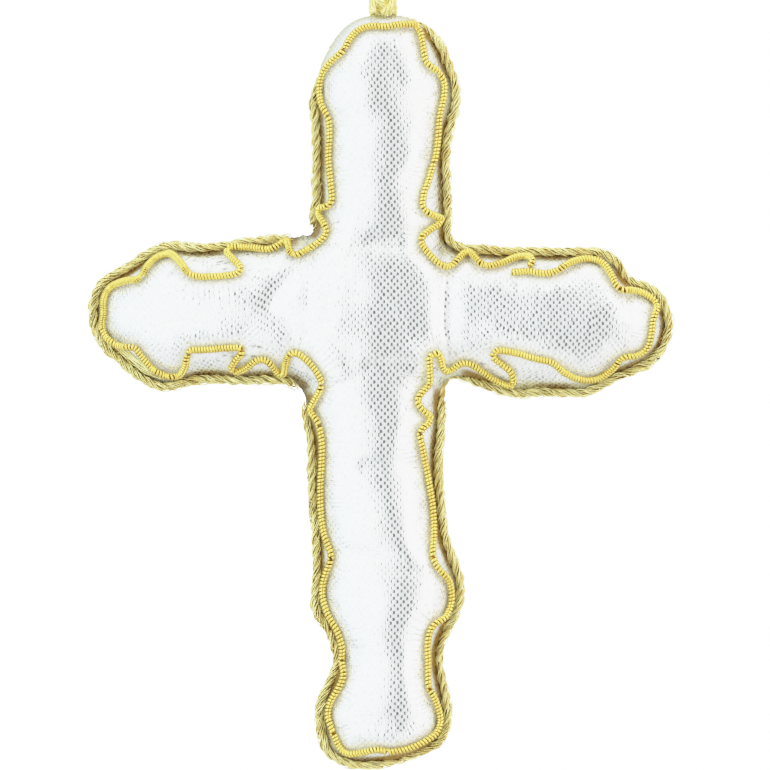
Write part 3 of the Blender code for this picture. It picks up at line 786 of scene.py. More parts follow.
def lay_threads(mesh):
    """Gives the cloth a map that follows its threads, in millimetres of cloth."""
    corners = np.zeros(len(mesh.vertices) * 3)
    mesh.vertices.foreach_get("co", corners)
    corners = corners.reshape(-1, 3) / MM
    low, high = corners.min(0) - MAP_MARGIN, corners.max(0) + MAP_MARGIN
    columns = np.arange(low[0], high[0], MAP_CELL)
    rows = np.arange(low[2] + HANG_HEIGHT, high[2] + HANG_HEIGHT, MAP_CELL)
    tree = tree_of(mesh)
    loops = np.zeros(len(mesh.loops), int)
    mesh.loops.foreach_get("vertex_index", loops)
    x = (corners[:, 0] - columns[0]) / MAP_CELL
    y = (corners[:, 2] + HANG_HEIGHT - rows[0]) / MAP_CELL
    normals = np.zeros(len(mesh.polygons) * 3)
    mesh.polygons.foreach_get("normal", normals)
    counts = np.zeros(len(mesh.polygons), int)
    mesh.polygons.foreach_get("loop_total", counts)
    behind = np.repeat(normals.reshape(-1, 3)[:, 1] > 0, counts)
    uv = np.zeros((len(loops), 2))
    for side in (-1, 1):
        field = depth_field(tree, side, columns, rows)
        u = read_grid(travelled_along(field, 1), x, y)
        v = read_grid(travelled_along(field, 0), x, y)
        chosen = behind == (side > 0)
        uv[chosen, 0] = u[loops[chosen]]
        uv[chosen, 1] = v[loops[chosen]]
    layer = mesh.uv_layers.get("threads") or mesh.uv_layers.new(name="threads")
    layer.data.foreach_set("uv", uv.astype(np.float32).ravel())
    print("threads run", round(float(uv[:, 1].max() - uv[:, 1].min()), 1), "mm up the cloth")


lay_threads(cloth_mesh)

# %% [markdown]
# Finishes are made of nodes. A small bench places a node, wires it and hands back its output, so
# that the cells below read like the recipe and not like the wiring.

# %% Node helpers
def new_group(name, inputs, outputs):
    """An empty shader group with named sockets: each is a name, a kind and a starting value."""
    group = bpy.data.node_groups.new(name, "ShaderNodeTree")
    for label, kind, start in inputs:
        socket = group.interface.new_socket(label, in_out="INPUT", socket_type="NodeSocket" + kind)
        if start is not None:
            socket.default_value = start
    for label, kind in outputs:
        group.interface.new_socket(label, in_out="OUTPUT", socket_type="NodeSocket" + kind)
    return group


class Bench:
    """A short way to place nodes in a tree and wire them."""

    def __init__(self, tree):
        self.tree = tree
        self.column = 0

    def place(self, kind, inputs=None, **settings):
        made = self.tree.nodes.new(kind)
        made.location = (self.column * 180, 0)
        self.column += 1
        for label, value in settings.items():
            setattr(made, label, value)
        for label, value in (inputs or {}).items():
            self.wire(value, made.inputs[label])
        return made

    def wire(self, value, socket):
        if isinstance(value, bpy.types.NodeSocket):
            self.tree.links.new(value, socket)
        else:
            socket.default_value = value

    def math(self, operation, *values, clamp=False):
        inputs = dict(enumerate(values))
        return self.place("ShaderNodeMath", inputs, operation=operation, use_clamp=clamp).outputs[0]

    def ramp(self, value, low, high, start=0.0, end=1.0):
        """A smooth step of a value between two limits."""
        inputs = {"Value": value, "From Min": low, "From Max": high, "To Min": start, "To Max": end}
        made = self.place("ShaderNodeMapRange", inputs, interpolation_type="SMOOTHSTEP")
        return made.outputs[0]

    def blend(self, share, first, second):
        """A colour between two colours."""
        made = self.place("ShaderNodeMix", data_type="RGBA")
        self.wire(share, made.inputs[0])
        self.wire(first, made.inputs[6])
        self.wire(second, made.inputs[7])
        return made.outputs[2]

    def noise(self, vector, scale, detail=2.0, roughness=0.5):
        inputs = {"Vector": vector, "Scale": scale, "Detail": detail, "Roughness": roughness}
        return self.place("ShaderNodeTexNoise", inputs)


print("bench tools:", [label for label in vars(Bench) if not label.startswith("_")])

# %% [markdown]
# The tissue is silver cloth: a bright thread goes across, and a flat strip of metal goes up.
# Where the strip passes over, it is a small mirror, dark where it faces a dark room and white
# where it faces a lamp. That is the whole look of this cloth, so the pattern only has to say
# where the strip lies on top and how high each thread stands. Real threads as meshes would take
# millions of faces, and a pattern of sines takes none. No two strips lie quite alike, so each
# one is tilted by its own chance.

# %% Weave group
THREAD_ACROSS = 0.61
THREAD_UP = 0.65
STRIP_NARROWNESS = 1.55
STRIP_ROUNDING = 0.35
STRIP_TWIST = 3.0
STRIP_START = 0.06
STRIP_SOFTNESS = 0.3
DRIFT_SCALE = 0.35
DRIFT_REACH = 8.0


def make_weave_group():
    group = new_group(
        "tissue_weave",
        (("Threads", "Vector", None), ("Unevenness", "Float", 0.12)),
        (("Strip", "Float"), ("Height", "Float"), ("Thread Shade", "Float"), ("Cell", "Float")),
    )
    bench = Bench(group)
    given = bench.place("NodeGroupInput").outputs
    drift = bench.noise(given["Threads"], DRIFT_SCALE).outputs["Color"]
    middle = {0: drift, 1: (0.5, 0.5, 0.5)}
    centred = bench.place("ShaderNodeVectorMath", middle, operation="SUBTRACT").outputs[0]
    moved = bench.place("ShaderNodeVectorMath", {0: centred}, operation="SCALE")
    bench.wire(bench.math("MULTIPLY", given["Unevenness"], DRIFT_REACH), moved.inputs["Scale"])
    both = {0: given["Threads"], 1: moved.outputs[0]}
    place = bench.place("ShaderNodeVectorMath", both, operation="ADD")
    parts = bench.place("ShaderNodeSeparateXYZ", {0: place.outputs[0]}).outputs
    column = bench.math("DIVIDE", parts["X"], THREAD_ACROSS)
    row = bench.math("DIVIDE", parts["Y"], THREAD_UP)
    beside = bench.math("SUBTRACT", bench.math("FRACT", column), 0.5)
    above = bench.math("SUBTRACT", bench.math("FRACT", row), 0.5)
    wave_across = bench.math("SINE", bench.math("MULTIPLY", column, math.pi))
    wave_up = bench.math("SINE", bench.math("MULTIPLY", row, math.pi))
    over = bench.math("MULTIPLY", wave_across, wave_up)
    column_number = bench.math("FLOOR", column)
    row_number = bench.math("FLOOR", row)
    cell = bench.place("ShaderNodeCombineXYZ", {0: column_number, 1: row_number}).outputs[0]
    chance = bench.place("ShaderNodeTexWhiteNoise", {"Vector": cell}, noise_dimensions="2D")
    row_only = bench.place("ShaderNodeTexWhiteNoise", {"W": row_number}, noise_dimensions="1D")
    narrowed = bench.math("MULTIPLY", beside, STRIP_NARROWNESS)
    strip_profile = bench.math("SUBTRACT", 1.0, bench.math("POWER", narrowed, 2.0))
    widened = bench.math("MULTIPLY", above, 2.0)
    thread_profile = bench.math("SUBTRACT", 1.0, bench.math("POWER", widened, 2.0))
    twist = bench.math("MULTIPLY", bench.math("SUBTRACT", chance.outputs["Value"], 0.5), STRIP_TWIST)
    strip_lift = bench.math("MULTIPLY_ADD", over, 0.6, -0.06)
    thread_lift = bench.math("MULTIPLY_ADD", over, -0.6, 0.3)
    strip_flat = bench.math("MULTIPLY_ADD", strip_profile, STRIP_ROUNDING, strip_lift)
    strip_height = bench.math("MULTIPLY_ADD", beside, twist, strip_flat)
    thread_height = bench.math("MULTIPLY_ADD", thread_profile, 0.35, thread_lift)
    lead = bench.math("SUBTRACT", strip_height, thread_height)
    strip = bench.ramp(lead, STRIP_START, STRIP_START + STRIP_SOFTNESS)
    top = bench.math("MAXIMUM", strip_height, thread_height)
    # The thread is painted darker towards its edges, a painted shade in the gaps between threads, and each
    # row gets its own random tone.
    shade = bench.ramp(thread_profile, 0.0, 0.55)
    spun = bench.math("MULTIPLY_ADD", row_only.outputs["Value"], 0.35, 0.65)
    result = {"Strip": strip, "Height": top, "Thread Shade": bench.math("MULTIPLY", shade, spun)}
    result["Cell"] = chance.outputs["Value"]
    bench.place("NodeGroupOutput", result)
    return group


weave_group = make_weave_group()
print("weave group:", [item.name for item in weave_group.interface.items_tree])

# %% [markdown]
# Small ripples stand square to the purl, where the stitches gather the cloth. They are finer than
# the mesh, so they are a relief: a wave along the purl, uneven in height, that dies away from it.
# It is a group of its own, so that it can be looked at and set by itself.

# %% Pucker group
RIPPLE_APART = 0.85
RIPPLE_WANDER = 5.0


def make_pucker_group():
    group = new_group(
        "puckers", (("Run", "Float", 0.0), ("Share", "Float", 0.0), ("Threads", "Vector", None)),
        (("Height", "Float"),),
    )
    bench = Bench(group)
    given = bench.place("NodeGroupInput").outputs
    uneven = bench.noise(given["Threads"], 0.5, 2.0).outputs["Fac"]
    wander = bench.math("MULTIPLY", uneven, RIPPLE_WANDER)
    phase = bench.math("MULTIPLY_ADD", given["Run"], math.tau / RIPPLE_APART, wander)
    wave = bench.math("MULTIPLY", bench.math("SINE", phase), given["Share"])
    height = bench.math("MULTIPLY", wave, bench.ramp(uneven, 0.3, 0.6))
    bench.place("NodeGroupOutput", {"Height": height})
    return group


pucker_group = make_pucker_group()
print("ripples", RIPPLE_APART, "mm apart")

# %% [markdown]
# Every finish here ends in one Principled shader, because the export can bake that one whole.
# Three helpers start a material, end it and place a group in it.

# %% Material helpers
def new_material(name):
    material = bpy.data.materials.new(name)
    material.use_nodes = True
    material.node_tree.nodes.clear()
    return material, Bench(material.node_tree)


def finish_material(bench, inputs):
    """Ends a material in one Principled shader."""
    shader = bench.place("ShaderNodeBsdfPrincipled", inputs)
    bench.place("ShaderNodeOutputMaterial", {"Surface": shader.outputs[0]})


def use_group(bench, group, inputs):
    """Places a group with its own values and hands back its outputs."""
    made = bench.place("ShaderNodeGroup", node_tree=group)
    for label, value in inputs.items():
        bench.wire(value, made.inputs[label])
    return made.outputs


print("groups ready:", [group.name for group in bpy.data.node_groups])

# %% [markdown]
# The silver finish reads the weave: where a strip lies on top it is metal and a little smoother,
# and elsewhere it is a bright yarn with some metal in it, painted darker at its edges as shade
# between the threads. Four masks on the cloth change it. The cloth is duller under the shade of
# the purl, painted cream towards the seam as shade and mirrored gold, painted brown on the lip
# behind the cord as its shadow and its reflected gold, and rippled where the purl gathers it.

# %% Tissue finish
STRIP_TONES = ((0.68, 0.70, 0.69, 1), (0.86, 0.88, 0.88, 1))
# The darker thread tone is painted shade in the gaps between threads.
THREAD_TONES = ((0.84, 0.86, 0.86, 1), (0.92, 0.93, 0.93, 1))
# Cream painted near the seam, for the shade and the mirrored gold there.
SEAM_SHADOW_CREAM = (0.66, 0.65, 0.44, 1)
# Brown painted on the lip behind the cord, for its shadow and its reflected gold.
LIP_SHADOW_BROWN = (0.34, 0.21, 0.05, 1)
WEAVE_RELIEF = 0.06
RIPPLE_RELIEF = 0.1


def make_tissue():
    material, bench = new_material("silver_tissue")
    threads = bench.place("ShaderNodeUVMap", uv_map="threads").outputs[0]
    weave = use_group(bench, weave_group, {"Threads": threads, "Unevenness": 0.06})
    near_purl = bench.place("ShaderNodeAttribute", attribute_name="near_purl").outputs["Fac"]
    near_seam = bench.place("ShaderNodeAttribute", attribute_name="near_seam").outputs["Fac"]
    near_cord = bench.place("ShaderNodeAttribute", attribute_name="near_cord").outputs["Fac"]
    open_weave = bench.math("SUBTRACT", 1.0, bench.math("MULTIPLY", near_purl, 0.8), clamp=True)
    strip = bench.math("MULTIPLY", weave["Strip"], open_weave)
    strip_colour = bench.blend(weave["Cell"], *STRIP_TONES)
    # Thread colour with painted shade in the gaps between threads.
    thread_colour = bench.blend(weave["Thread Shade"], *THREAD_TONES)
    clean = bench.blend(strip, thread_colour, strip_colour)
    # Painted shade and mirrored gold in cream towards the seam.
    cream = bench.blend(bench.math("MULTIPLY", near_seam, 0.9), clean, SEAM_SHADOW_CREAM)
    # Painted shadow and reflected gold of the cord in brown on the lip.
    colour = bench.blend(bench.ramp(near_cord, 0.1, 0.9), cream, LIP_SHADOW_BROWN)
    dulled = bench.math("SUBTRACT", 1.0, bench.math("MULTIPLY", near_purl, 0.9), clamp=True)
    metallic = bench.math("MULTIPLY", bench.math("MULTIPLY_ADD", strip, 0.49, 0.46), dulled)
    roughness = bench.math("MULTIPLY_ADD", strip, -0.15, 0.33)
    run = bench.place("ShaderNodeAttribute", attribute_name="purl_run").outputs["Fac"]
    puckered = bench.place("ShaderNodeAttribute", attribute_name="puckered").outputs["Fac"]
    ripples = use_group(bench, pucker_group, {"Run": run, "Share": puckered, "Threads": threads})
    pull = {"Height": ripples["Height"], "Strength": 1.0, "Distance": RIPPLE_RELIEF * MM}
    pulled = bench.place("ShaderNodeBump", pull).outputs[0]
    relief = {"Height": weave["Height"], "Strength": 0.5, "Distance": WEAVE_RELIEF * MM}
    bump = bench.place("ShaderNodeBump", {**relief, "Normal": pulled})
    inputs = {"Base Color": colour, "Metallic": metallic, "Roughness": roughness}
    inputs["Normal"] = bump.outputs[0]
    finish_material(bench, inputs)
    return material


tissue = make_tissue()
print("tissue:", len(tissue.node_tree.nodes), "nodes")

# %% [markdown]
# The finish needs to know how near the purl is, for its shade, and how far along the purl a
# corner lies, for the ripples that stand square to it. Where two lengths compete for a corner
# the run jumps, and the ripples are left out there, or they would show as scribbles.

# %% Marks of the purl
PURL_SHADE = 1.5
RIPPLE_REACH = 3.4
RUN_STRETCH = 1.3
RUN_SLACK = 0.1


def mark_purl(mesh):
    """Writes how near each corner of the front is to the purl, and how far along the purl it is."""
    places = [place for points in PURL for place in smooth_route(points, FLAT_STEP)]
    run = [0.0]
    for start, end in zip(places, places[1:]):
        run.append(run[-1] + (end - start).length)
    values = {"near_purl": [], "puckered": [], "purl_run": []}
    for vert in mesh.vertices:
        place = on_table(vert.co)
        _, number, distance = purl_tree.find(place)
        following = places[min(number + 1, len(places) - 1)] - places[max(number - 1, 0)]
        flat = Vector((place.x, place.y)) - places[number]
        front = 1.0 if vert.normal.y < 0 else 0.0
        values["near_purl"].append(front * math.exp(-((distance / PURL_SHADE) ** 2)))
        values["puckered"].append(front * math.exp(-((distance / RIPPLE_REACH) ** 2)))
        values["purl_run"].append(run[number] + flat.dot(following.normalized()))
    run_there = values["purl_run"]
    for edge in mesh.edges:
        first, second = edge.vertices
        apart = (mesh.vertices[first].co - mesh.vertices[second].co).length / MM
        if abs(run_there[first] - run_there[second]) > apart * RUN_STRETCH + RUN_SLACK:
            values["puckered"][first] = values["puckered"][second] = 0.0
    for name, column in values.items():
        mesh.attributes.new(name, "FLOAT", "POINT").data.foreach_set("value", column)
    rippled = sum(value > 0.1 for value in values["puckered"])
    print("corners near the purl that ripple:", rippled, "of", len(mesh.vertices))


# %% [markdown]
# The blank becomes the finished cross, with its marks and its silver finish. It is the stuffed
# piece of the part.


def make_cross():
    """The cloth mesh as a piece, marked and dressed."""
    body = bmesh.new()
    body.from_mesh(cloth_mesh)
    piece = finish_piece("tissue_cross", body, "padded_cross")
    mark_purl(piece.data)
    piece.data.materials.append(tissue)
    return piece


tissue_cross = make_cross()
print("cross:", len(tissue_cross.data.polygons), "faces")

# %% [markdown]
# Cords and purl are laid on the cloth, never through it. From a point in front of the cloth
# the line comes nearer by what it has to spare, until it just clears, and it keeps to the high
# spots beside it, because a cord is too stiff to dip into every hollow. A Shrinkwrap modifier
# would follow each hollow instead, and bury one side of the cord.

# %% Laying on the cloth
FINE_STEP = 0.2
START_DEPTH = 20.0
CLOSE_ENOUGH = 0.01


def laid_depth(point, side, tree, clearance):
    """How far out a point lies against a tree on one side, no further in than the seam."""
    depth = START_DEPTH
    while depth > 0.0:
        spare = tree.find_nearest(spot(point.x, point.y, side * depth))[3] / MM - clearance
        if spare < CLOSE_ENOUGH:
            break
        depth -= spare
    return max(0.0, depth)


def lay_route(points, reach, side, tree, clearance):
    """Fine steps along a route laid on a tree, each on the highest spot within its reach."""
    flat = smooth_route(points, FINE_STEP)
    depths = [laid_depth(point, side, tree, clearance) for point in flat]
    near = max(1, round(reach / 2 / FINE_STEP))
    route = []
    for number, point in enumerate(flat):
        highest = max(depths[max(0, number - near) : number + near + 1])
        route.append(Vector((point.x, point.y, side * highest)))
    return route


cloth_tree = tree_of(bare_mesh)
print("crossing stands", round(laid_depth(Vector((0, 0)), -1, cloth_tree, 0.0), 2), "mm proud")

# %% [markdown]
# The edge cord lies behind the seam, against the lip of cloth, and is couched down all along.
# Its middle line is laid on the cloth from behind, eased, and cut into steps short enough for
# its finest yarns to wind round it.

# %% Line of an edge cord
CORD_DIAMETER = 1.8
CORD_REACH = 2.8
CORD_CLEARANCE = 0.1
CORD_EASING = 1.4
CORD_YARN_STEP = 0.5


def cord_line(points):
    """Middle line of an edge cord in metres, in steps short enough for its finest yarns."""
    laid = lay_route(points, CORD_REACH, 1, cloth_tree, CORD_DIAMETER / 2 + CORD_CLEARANCE)
    eased = smooth_route(laid, CORD_EASING)
    return smooth_route([spot(*place) for place in eased], CORD_YARN_STEP * MM)


long_line, left_line = cord_line(LONG_CORD), cord_line(LEFT_CORD)
print("cord:", round(route_length(long_line) / MM), "and", round(route_length(left_line) / MM), "mm")

# %% [markdown]
# Below the end of the left arm a few strands have come out of the cord. They are the cord's own
# fine yarns, laid side by side on the front of the cloth, each a little out of line.

# %% Loose strands
CORD_YARN_RADIUS = 0.15
THINNED = (0.3, 0.3)
FRAY_STEPS = 4
LOOSE = ((-52.6, -5.4), (-51.0, -7.4), (-48.4, -9.8), (-45.4, -12.0), (-43.0, -13.4), (-40.6, -14.0))
LOOSE_COUNT = 6
LOOSE_SPREAD = 1.3
LOOSE_UNEVEN = 0.3
LOOSE_CLEARANCE = 0.2
LOOSE_SEED = 70


def cut_back(way, chance):
    """A yarn with a little missing from each end, so that the cord frays out."""
    first = chance.randint(0, FRAY_STEPS)
    last = chance.randint(0, FRAY_STEPS)
    return way[first : len(way) - last]


def add_loose_strands(body, chance):
    """Strands that have come out of the cord below the end of the left arm."""
    for number in range(LOOSE_COUNT):
        slide = number * LOOSE_SPREAD / LOOSE_COUNT
        points = [(x + slide * 0.7, up + slide) for x, up in LOOSE]
        first = chance.randrange(2)
        points = points[first : len(points) - chance.randrange(2)]
        laid = lay_route(points, CORD_REACH, -1, cloth_tree, LOOSE_CLEARANCE)
        route = smooth_route([spot(*place) for place in laid], CORD_YARN_STEP * MM)
        route = unsettled(route, LOOSE_UNEVEN * MM, LOOSE_SEED + number)
        add_yarn(body, route, CORD_YARN_RADIUS * MM, THINNED, 4)


print("strands that have come loose:", LOOSE_COUNT)

# %% [markdown]
# The cord is three plies of gold yarn, each ply twisted from finer yarns. A relief on a smooth
# tube would keep a smooth edge, and modelling each yarn gives the ridges, the fine lines on them
# and the uneven outline of the real cord at once. Smooth noise moves each yarn a little, thin
# strays wander over the cord, and its cut ends fray.

# %% Edge cords
CORD_PITCH = 7.0
PLY_RADIUS = 0.46
PLY_RING = 0.42
PLY_TWIST = 10.0
CORD_YARNS = 6
CORD_UNEVEN = 0.18
YARN_UNEVEN = 0.2
STRAY_EVERY = 1.3
STRAY_RADIUS = 0.09
STRAY_LENGTHS = (2.0, 6.0)
STRAY_PITCHES = (7, 14)
STRAY_RING = 0.95


def make_edge_cord(name, node, line, seed, loose):
    """One edge cord along its line, yarn by yarn, with its strays and its loose strands."""
    chance = random.Random(seed)
    body = bmesh.new()
    for ply in range(3):
        way = twisted(line, PLY_RING * MM, CORD_PITCH * MM, math.tau * ply / 3)
        way = unsettled(way, CORD_UNEVEN * MM, seed + ply)
        ring = PLY_RADIUS - CORD_YARN_RADIUS
        for yarn in range(CORD_YARNS):
            phase = math.tau * yarn / CORD_YARNS
            yarn_way = twisted(way, ring * MM, PLY_TWIST * MM, phase)
            yarn_way = unsettled(yarn_way, YARN_UNEVEN * MM, seed + 10 + ply * CORD_YARNS + yarn)
            add_yarn(body, cut_back(yarn_way, chance), CORD_YARN_RADIUS * MM, THINNED, 4)
    strays = round(route_length(line) / MM / STRAY_EVERY)
    for number in range(strays):
        count = round(chance.uniform(*STRAY_LENGTHS) / CORD_YARN_STEP)
        first = chance.randrange(len(line) - count)
        phase = chance.uniform(0, math.tau)
        pitch = chance.uniform(*STRAY_PITCHES) * MM
        way = twisted(line[first : first + count], STRAY_RING * MM, pitch, phase)
        add_yarn(body, unsettled(way, CORD_UNEVEN * MM, number), STRAY_RADIUS * MM, THINNED, 4)
    if loose:
        add_loose_strands(body, chance)
    piece = finish_piece(name, body, node)
    triangles = sum(len(face.vertices) - 2 for face in piece.data.polygons)
    print(name, "has", strays, "strays and", triangles, "triangles")
    return piece


long_cord = make_edge_cord("twisted_cord_long", "edge_cord_long", long_line, 3, False)
left_cord = make_edge_cord("twisted_cord_left_arm", "edge_cord_left_arm", left_line, 57, True)

# %% [markdown]
# The solids of the purl keep a gap between one length and the next. On the real cross the
# lengths are pushed together end to end, so here each end near another is drawn out to it.

# %% Meeting ends
PURL_JOIN = 2.2
PURL_JOIN_GAP = 0.1


def joined_ends(number):
    """A length's own points, with its ends drawn out to meet the lengths before and after it."""
    points = [Vector(point) for point in PURL[number]]
    before = Vector(PURL[number - 1][-1])
    after = Vector(PURL[(number + 1) % len(PURL)][0])
    for end, other in ((0, before), (-1, after)):
        span = other - points[end]
        if span.length < PURL_JOIN:
            meeting = points[end] + span * max(0.0, 0.5 - PURL_JOIN_GAP / span.length)
            points.insert(len(points) if end else 0, meeting)
    return points


print("a length with its ends drawn out:", [tuple(round(v, 1) for v in p) for p in joined_ends(0)])

# %% [markdown]
# Purl is a spring of gold wire, cut into short lengths and stitched down through its hollow.
# Its turns touch, so it looks like a string of tiny beads. The wire winds closely round a line
# laid on the cloth and the cords. Upright lengths are wound from a coarser wire than those that
# lie across. A few lengths on the left arm are smooth purl, wound from a wire so fine that its
# turns hardly show.

# %% Lengths of purl
PURL_DIAMETER = 1.42
PURL_REACH = 1.6
PURL_CLEARANCE = 0.04
PURL_EASING = 1.0
WIRE_PITCH_ACROSS = 0.54
WIRE_PITCH_UP = 0.69
WIRE_FILL = 0.49
TURN_STEPS = 14
SMOOTH_LENGTHS = (5, 8, 9, 15)
SMOOTH_PITCH = 0.3

seat_tree = tree_of(tissue_cross.data, long_cord.data, left_cord.data)


def make_purl(number, points):
    """One coil of wire along the points of a length, laid on the cloth, with its middle line."""
    laid = lay_route(points, PURL_REACH, -1, seat_tree, PURL_DIAMETER / 2 + PURL_CLEARANCE)
    eased = smooth_route(laid, PURL_EASING)
    run = Vector(points[-1]) - Vector(points[0])
    upright = abs(run.y) / (abs(run.x) + abs(run.y))
    pitch = WIRE_PITCH_ACROSS + (WIRE_PITCH_UP - WIRE_PITCH_ACROSS) * upright
    if number in SMOOTH_LENGTHS:
        pitch = SMOOTH_PITCH
    radius = pitch * WIRE_FILL
    line = smooth_route([spot(*place) for place in eased], pitch * MM / TURN_STEPS)
    body = bmesh.new()
    wire = twisted(line, (PURL_DIAMETER / 2 - radius) * MM, pitch * MM)
    add_yarn(body, wire, radius * MM)
    name = f"purl_{number:02d}"
    return finish_piece("coil_" + name, body, name), line


coils = [make_purl(number + 1, joined_ends(number)) for number in range(len(PURL))]
purl_total = sum(route_length(line) for _, line in coils)
print("purl:", len(coils), "lengths,", round(purl_total / MM), "mm in all")

# %% [markdown]
# Each cord and coil is painted darker in its grooves, a painted shade. So each corner carries how deep
# it lies in its cord or coil, measured from the middle line of that cord or coil.

# %% Depth in the grooves
def mark_depth(piece, line, inner, outer):
    """Writes how far out each corner lies from a line: 0 deep in the grooves, 1 on the outside."""
    tree = KDTree(len(line))
    for number, place in enumerate(line):
        tree.insert(place, number)
    tree.balance()
    values = []
    for vert in piece.data.vertices:
        distance = tree.find(vert.co)[2] / MM
        values.append(min(1.0, max(0.0, (distance - inner) / (outer - inner))))
    piece.data.attributes.new("outside", "FLOAT", "POINT").data.foreach_set("value", values)


print("pieces to mark:", 3 + len(coils))

# %% [markdown]
# The gold is the same metal everywhere, with different wear. Its colour drifts between a clean
# lemon gold and a browner tarnish, in soft patches with small specks, read from the object's own
# coordinates. The group gives that colour and a roughness that goes with it.

# %% Tarnish group
PATCH_SCALE = 160.0
SPECK_SCALE = 1900.0


def make_tarnish_group():
    """Group for worn metal: a colour and a roughness that drift together."""
    group = new_group(
        "tarnish",
        (
            ("Place", "Vector", None), ("Clean", "Color", (1, 1, 1, 1)), ("Tarnished", "Color", (0, 0, 0, 1)),
            ("Amount", "Float", 0.4), ("Clean Roughness", "Float", 0.25), ("Dull Roughness", "Float", 0.5),
        ),
        (("Colour", "Color"), ("Roughness", "Float")),
    )
    bench = Bench(group)
    given = bench.place("NodeGroupInput").outputs
    patches = bench.noise(given["Place"], PATCH_SCALE, 3.0, 0.6).outputs["Fac"]
    specks = bench.noise(given["Place"], SPECK_SCALE, 2.0, 0.6).outputs["Fac"]
    both = bench.math("MULTIPLY_ADD", specks, 0.5, bench.math("MULTIPLY", patches, 0.5))
    mask = bench.math("MULTIPLY", bench.ramp(both, 0.4, 0.66), given["Amount"])
    colour = bench.blend(mask, given["Clean"], given["Tarnished"])
    spread = bench.math("SUBTRACT", given["Dull Roughness"], given["Clean Roughness"])
    roughness = bench.math("MULTIPLY_ADD", mask, spread, given["Clean Roughness"])
    bench.place("NodeGroupOutput", {"Colour": colour, "Roughness": roughness})
    return group


tarnish_group = make_tarnish_group()
print("tarnish:", len(tarnish_group.nodes), "nodes")

# %% [markdown]
# Each yarn of the cord is itself spun from hair-fine strands. They are too fine to model, so
# they are a pattern of slanting lines on the yarn's own map in millimetres, a little broken up.

# %% Spun lines group
def make_strand_group():
    """Group for the fine lines on a yarn: a height for the relief."""
    group = new_group(
        "spun_lines",
        (("Yarn Map", "Vector", None), ("Lines Round", "Float", 9.0), ("Slant", "Float", 0.5)),
        (("Height", "Float"),),
    )
    bench = Bench(group)
    given = bench.place("NodeGroupInput").outputs
    parts = bench.place("ShaderNodeSeparateXYZ", {0: given["Yarn Map"]}).outputs
    slanted = bench.math("MULTIPLY_ADD", parts["X"], given["Slant"], parts["Y"])
    turn = bench.math("MULTIPLY", slanted, given["Lines Round"])
    wave = bench.math("SINE", bench.math("MULTIPLY", turn, math.tau))
    length = bench.place("ShaderNodeCombineXYZ", {0: bench.math("MULTIPLY", parts["X"], 1.3), 1: turn})
    rough = bench.noise(length.outputs[0], 1.0, 2.0).outputs["Fac"]
    bench.place("NodeGroupOutput", {"Height": bench.math("MULTIPLY_ADD", wave, 0.35, rough)})
    return group


strand_group = make_strand_group()
print("spun lines:", len(strand_group.nodes), "nodes")

# %% [markdown]
# The cord is yarn wrapped in gold, so it is only partly metal, a lemon gold with its spun lines
# in relief. The purl is solid wire, fully metal, deeper in colour and smoother. Both darken to
# a painted brown shade in their grooves.

# %% Gold finishes
CORD_CLEAN, CORD_TARNISHED = (1.0, 0.96, 0.50, 1), (0.84, 0.66, 0.20, 1)
# Painted shade in the grooves of the cord.
CORD_GROOVE_SHADE = (0.60, 0.43, 0.12, 1)
CORD_METAL = 0.64
SPUN_RELIEF = 0.04
PURL_CLEAN, PURL_TARNISHED = (0.98, 0.84, 0.26, 1), (0.78, 0.56, 0.14, 1)
# Painted shade in the grooves of the purl.
PURL_GROOVE_SHADE = (0.68, 0.47, 0.11, 1)


def shaded_in_grooves(bench, colour, groove_shade, start, end):
    """A colour with painted shade, darker towards the grooves, by the depth written on the piece."""
    outside = bench.place("ShaderNodeAttribute", attribute_name="outside").outputs["Fac"]
    return bench.blend(bench.ramp(outside, start, end), groove_shade, colour)


def make_gold_cord():
    material, bench = new_material("gold_cord")
    place = bench.place("ShaderNodeTexCoord").outputs["Object"]
    yarn_map = bench.place("ShaderNodeUVMap", uv_map="UVMap").outputs[0]
    lines = use_group(bench, strand_group, {"Yarn Map": yarn_map, "Lines Round": 2.0, "Slant": 0.8})
    wear = use_group(bench, tarnish_group, {
        "Place": place, "Clean": CORD_CLEAN, "Tarnished": CORD_TARNISHED,
        "Amount": 0.8, "Clean Roughness": 0.28, "Dull Roughness": 0.5,
    })
    colour = shaded_in_grooves(bench, wear["Colour"], CORD_GROOVE_SHADE, 0.0, 0.55)
    relief = {"Height": lines["Height"], "Strength": 0.6, "Distance": SPUN_RELIEF * MM}
    bump = bench.place("ShaderNodeBump", relief)
    inputs = {"Base Color": colour, "Metallic": CORD_METAL, "Roughness": wear["Roughness"]}
    inputs["Normal"] = bump.outputs[0]
    finish_material(bench, inputs)
    return material


def make_gold_purl():
    material, bench = new_material("gold_purl")
    place = bench.place("ShaderNodeTexCoord").outputs["Object"]
    wear = use_group(bench, tarnish_group, {
        "Place": place, "Clean": PURL_CLEAN, "Tarnished": PURL_TARNISHED,
        "Amount": 0.55, "Clean Roughness": 0.24, "Dull Roughness": 0.42,
    })
    colour = shaded_in_grooves(bench, wear["Colour"], PURL_GROOVE_SHADE, 0.1, 0.8)
    finish_material(bench, {"Base Color": colour, "Metallic": 1.0, "Roughness": wear["Roughness"]})
    return material


gold_cord = make_gold_cord()
gold_purl = make_gold_purl()
print("gold:", len(gold_cord.node_tree.nodes), "nodes for cord,", len(gold_purl.node_tree.nodes), "for purl")

# %% [markdown]
# Every cord and coil gets its gold and the depth of its grooves, in millimetres from its line:
# the strands of the plait, the middle of an edge cord, the hollow of a coil.

# %% Gold on the pieces
LOOP_DEPTHS = (0.25, 0.75)
CORD_DEPTHS = (0.35, 1.0)
PURL_DEPTHS = (0.3, 0.66)

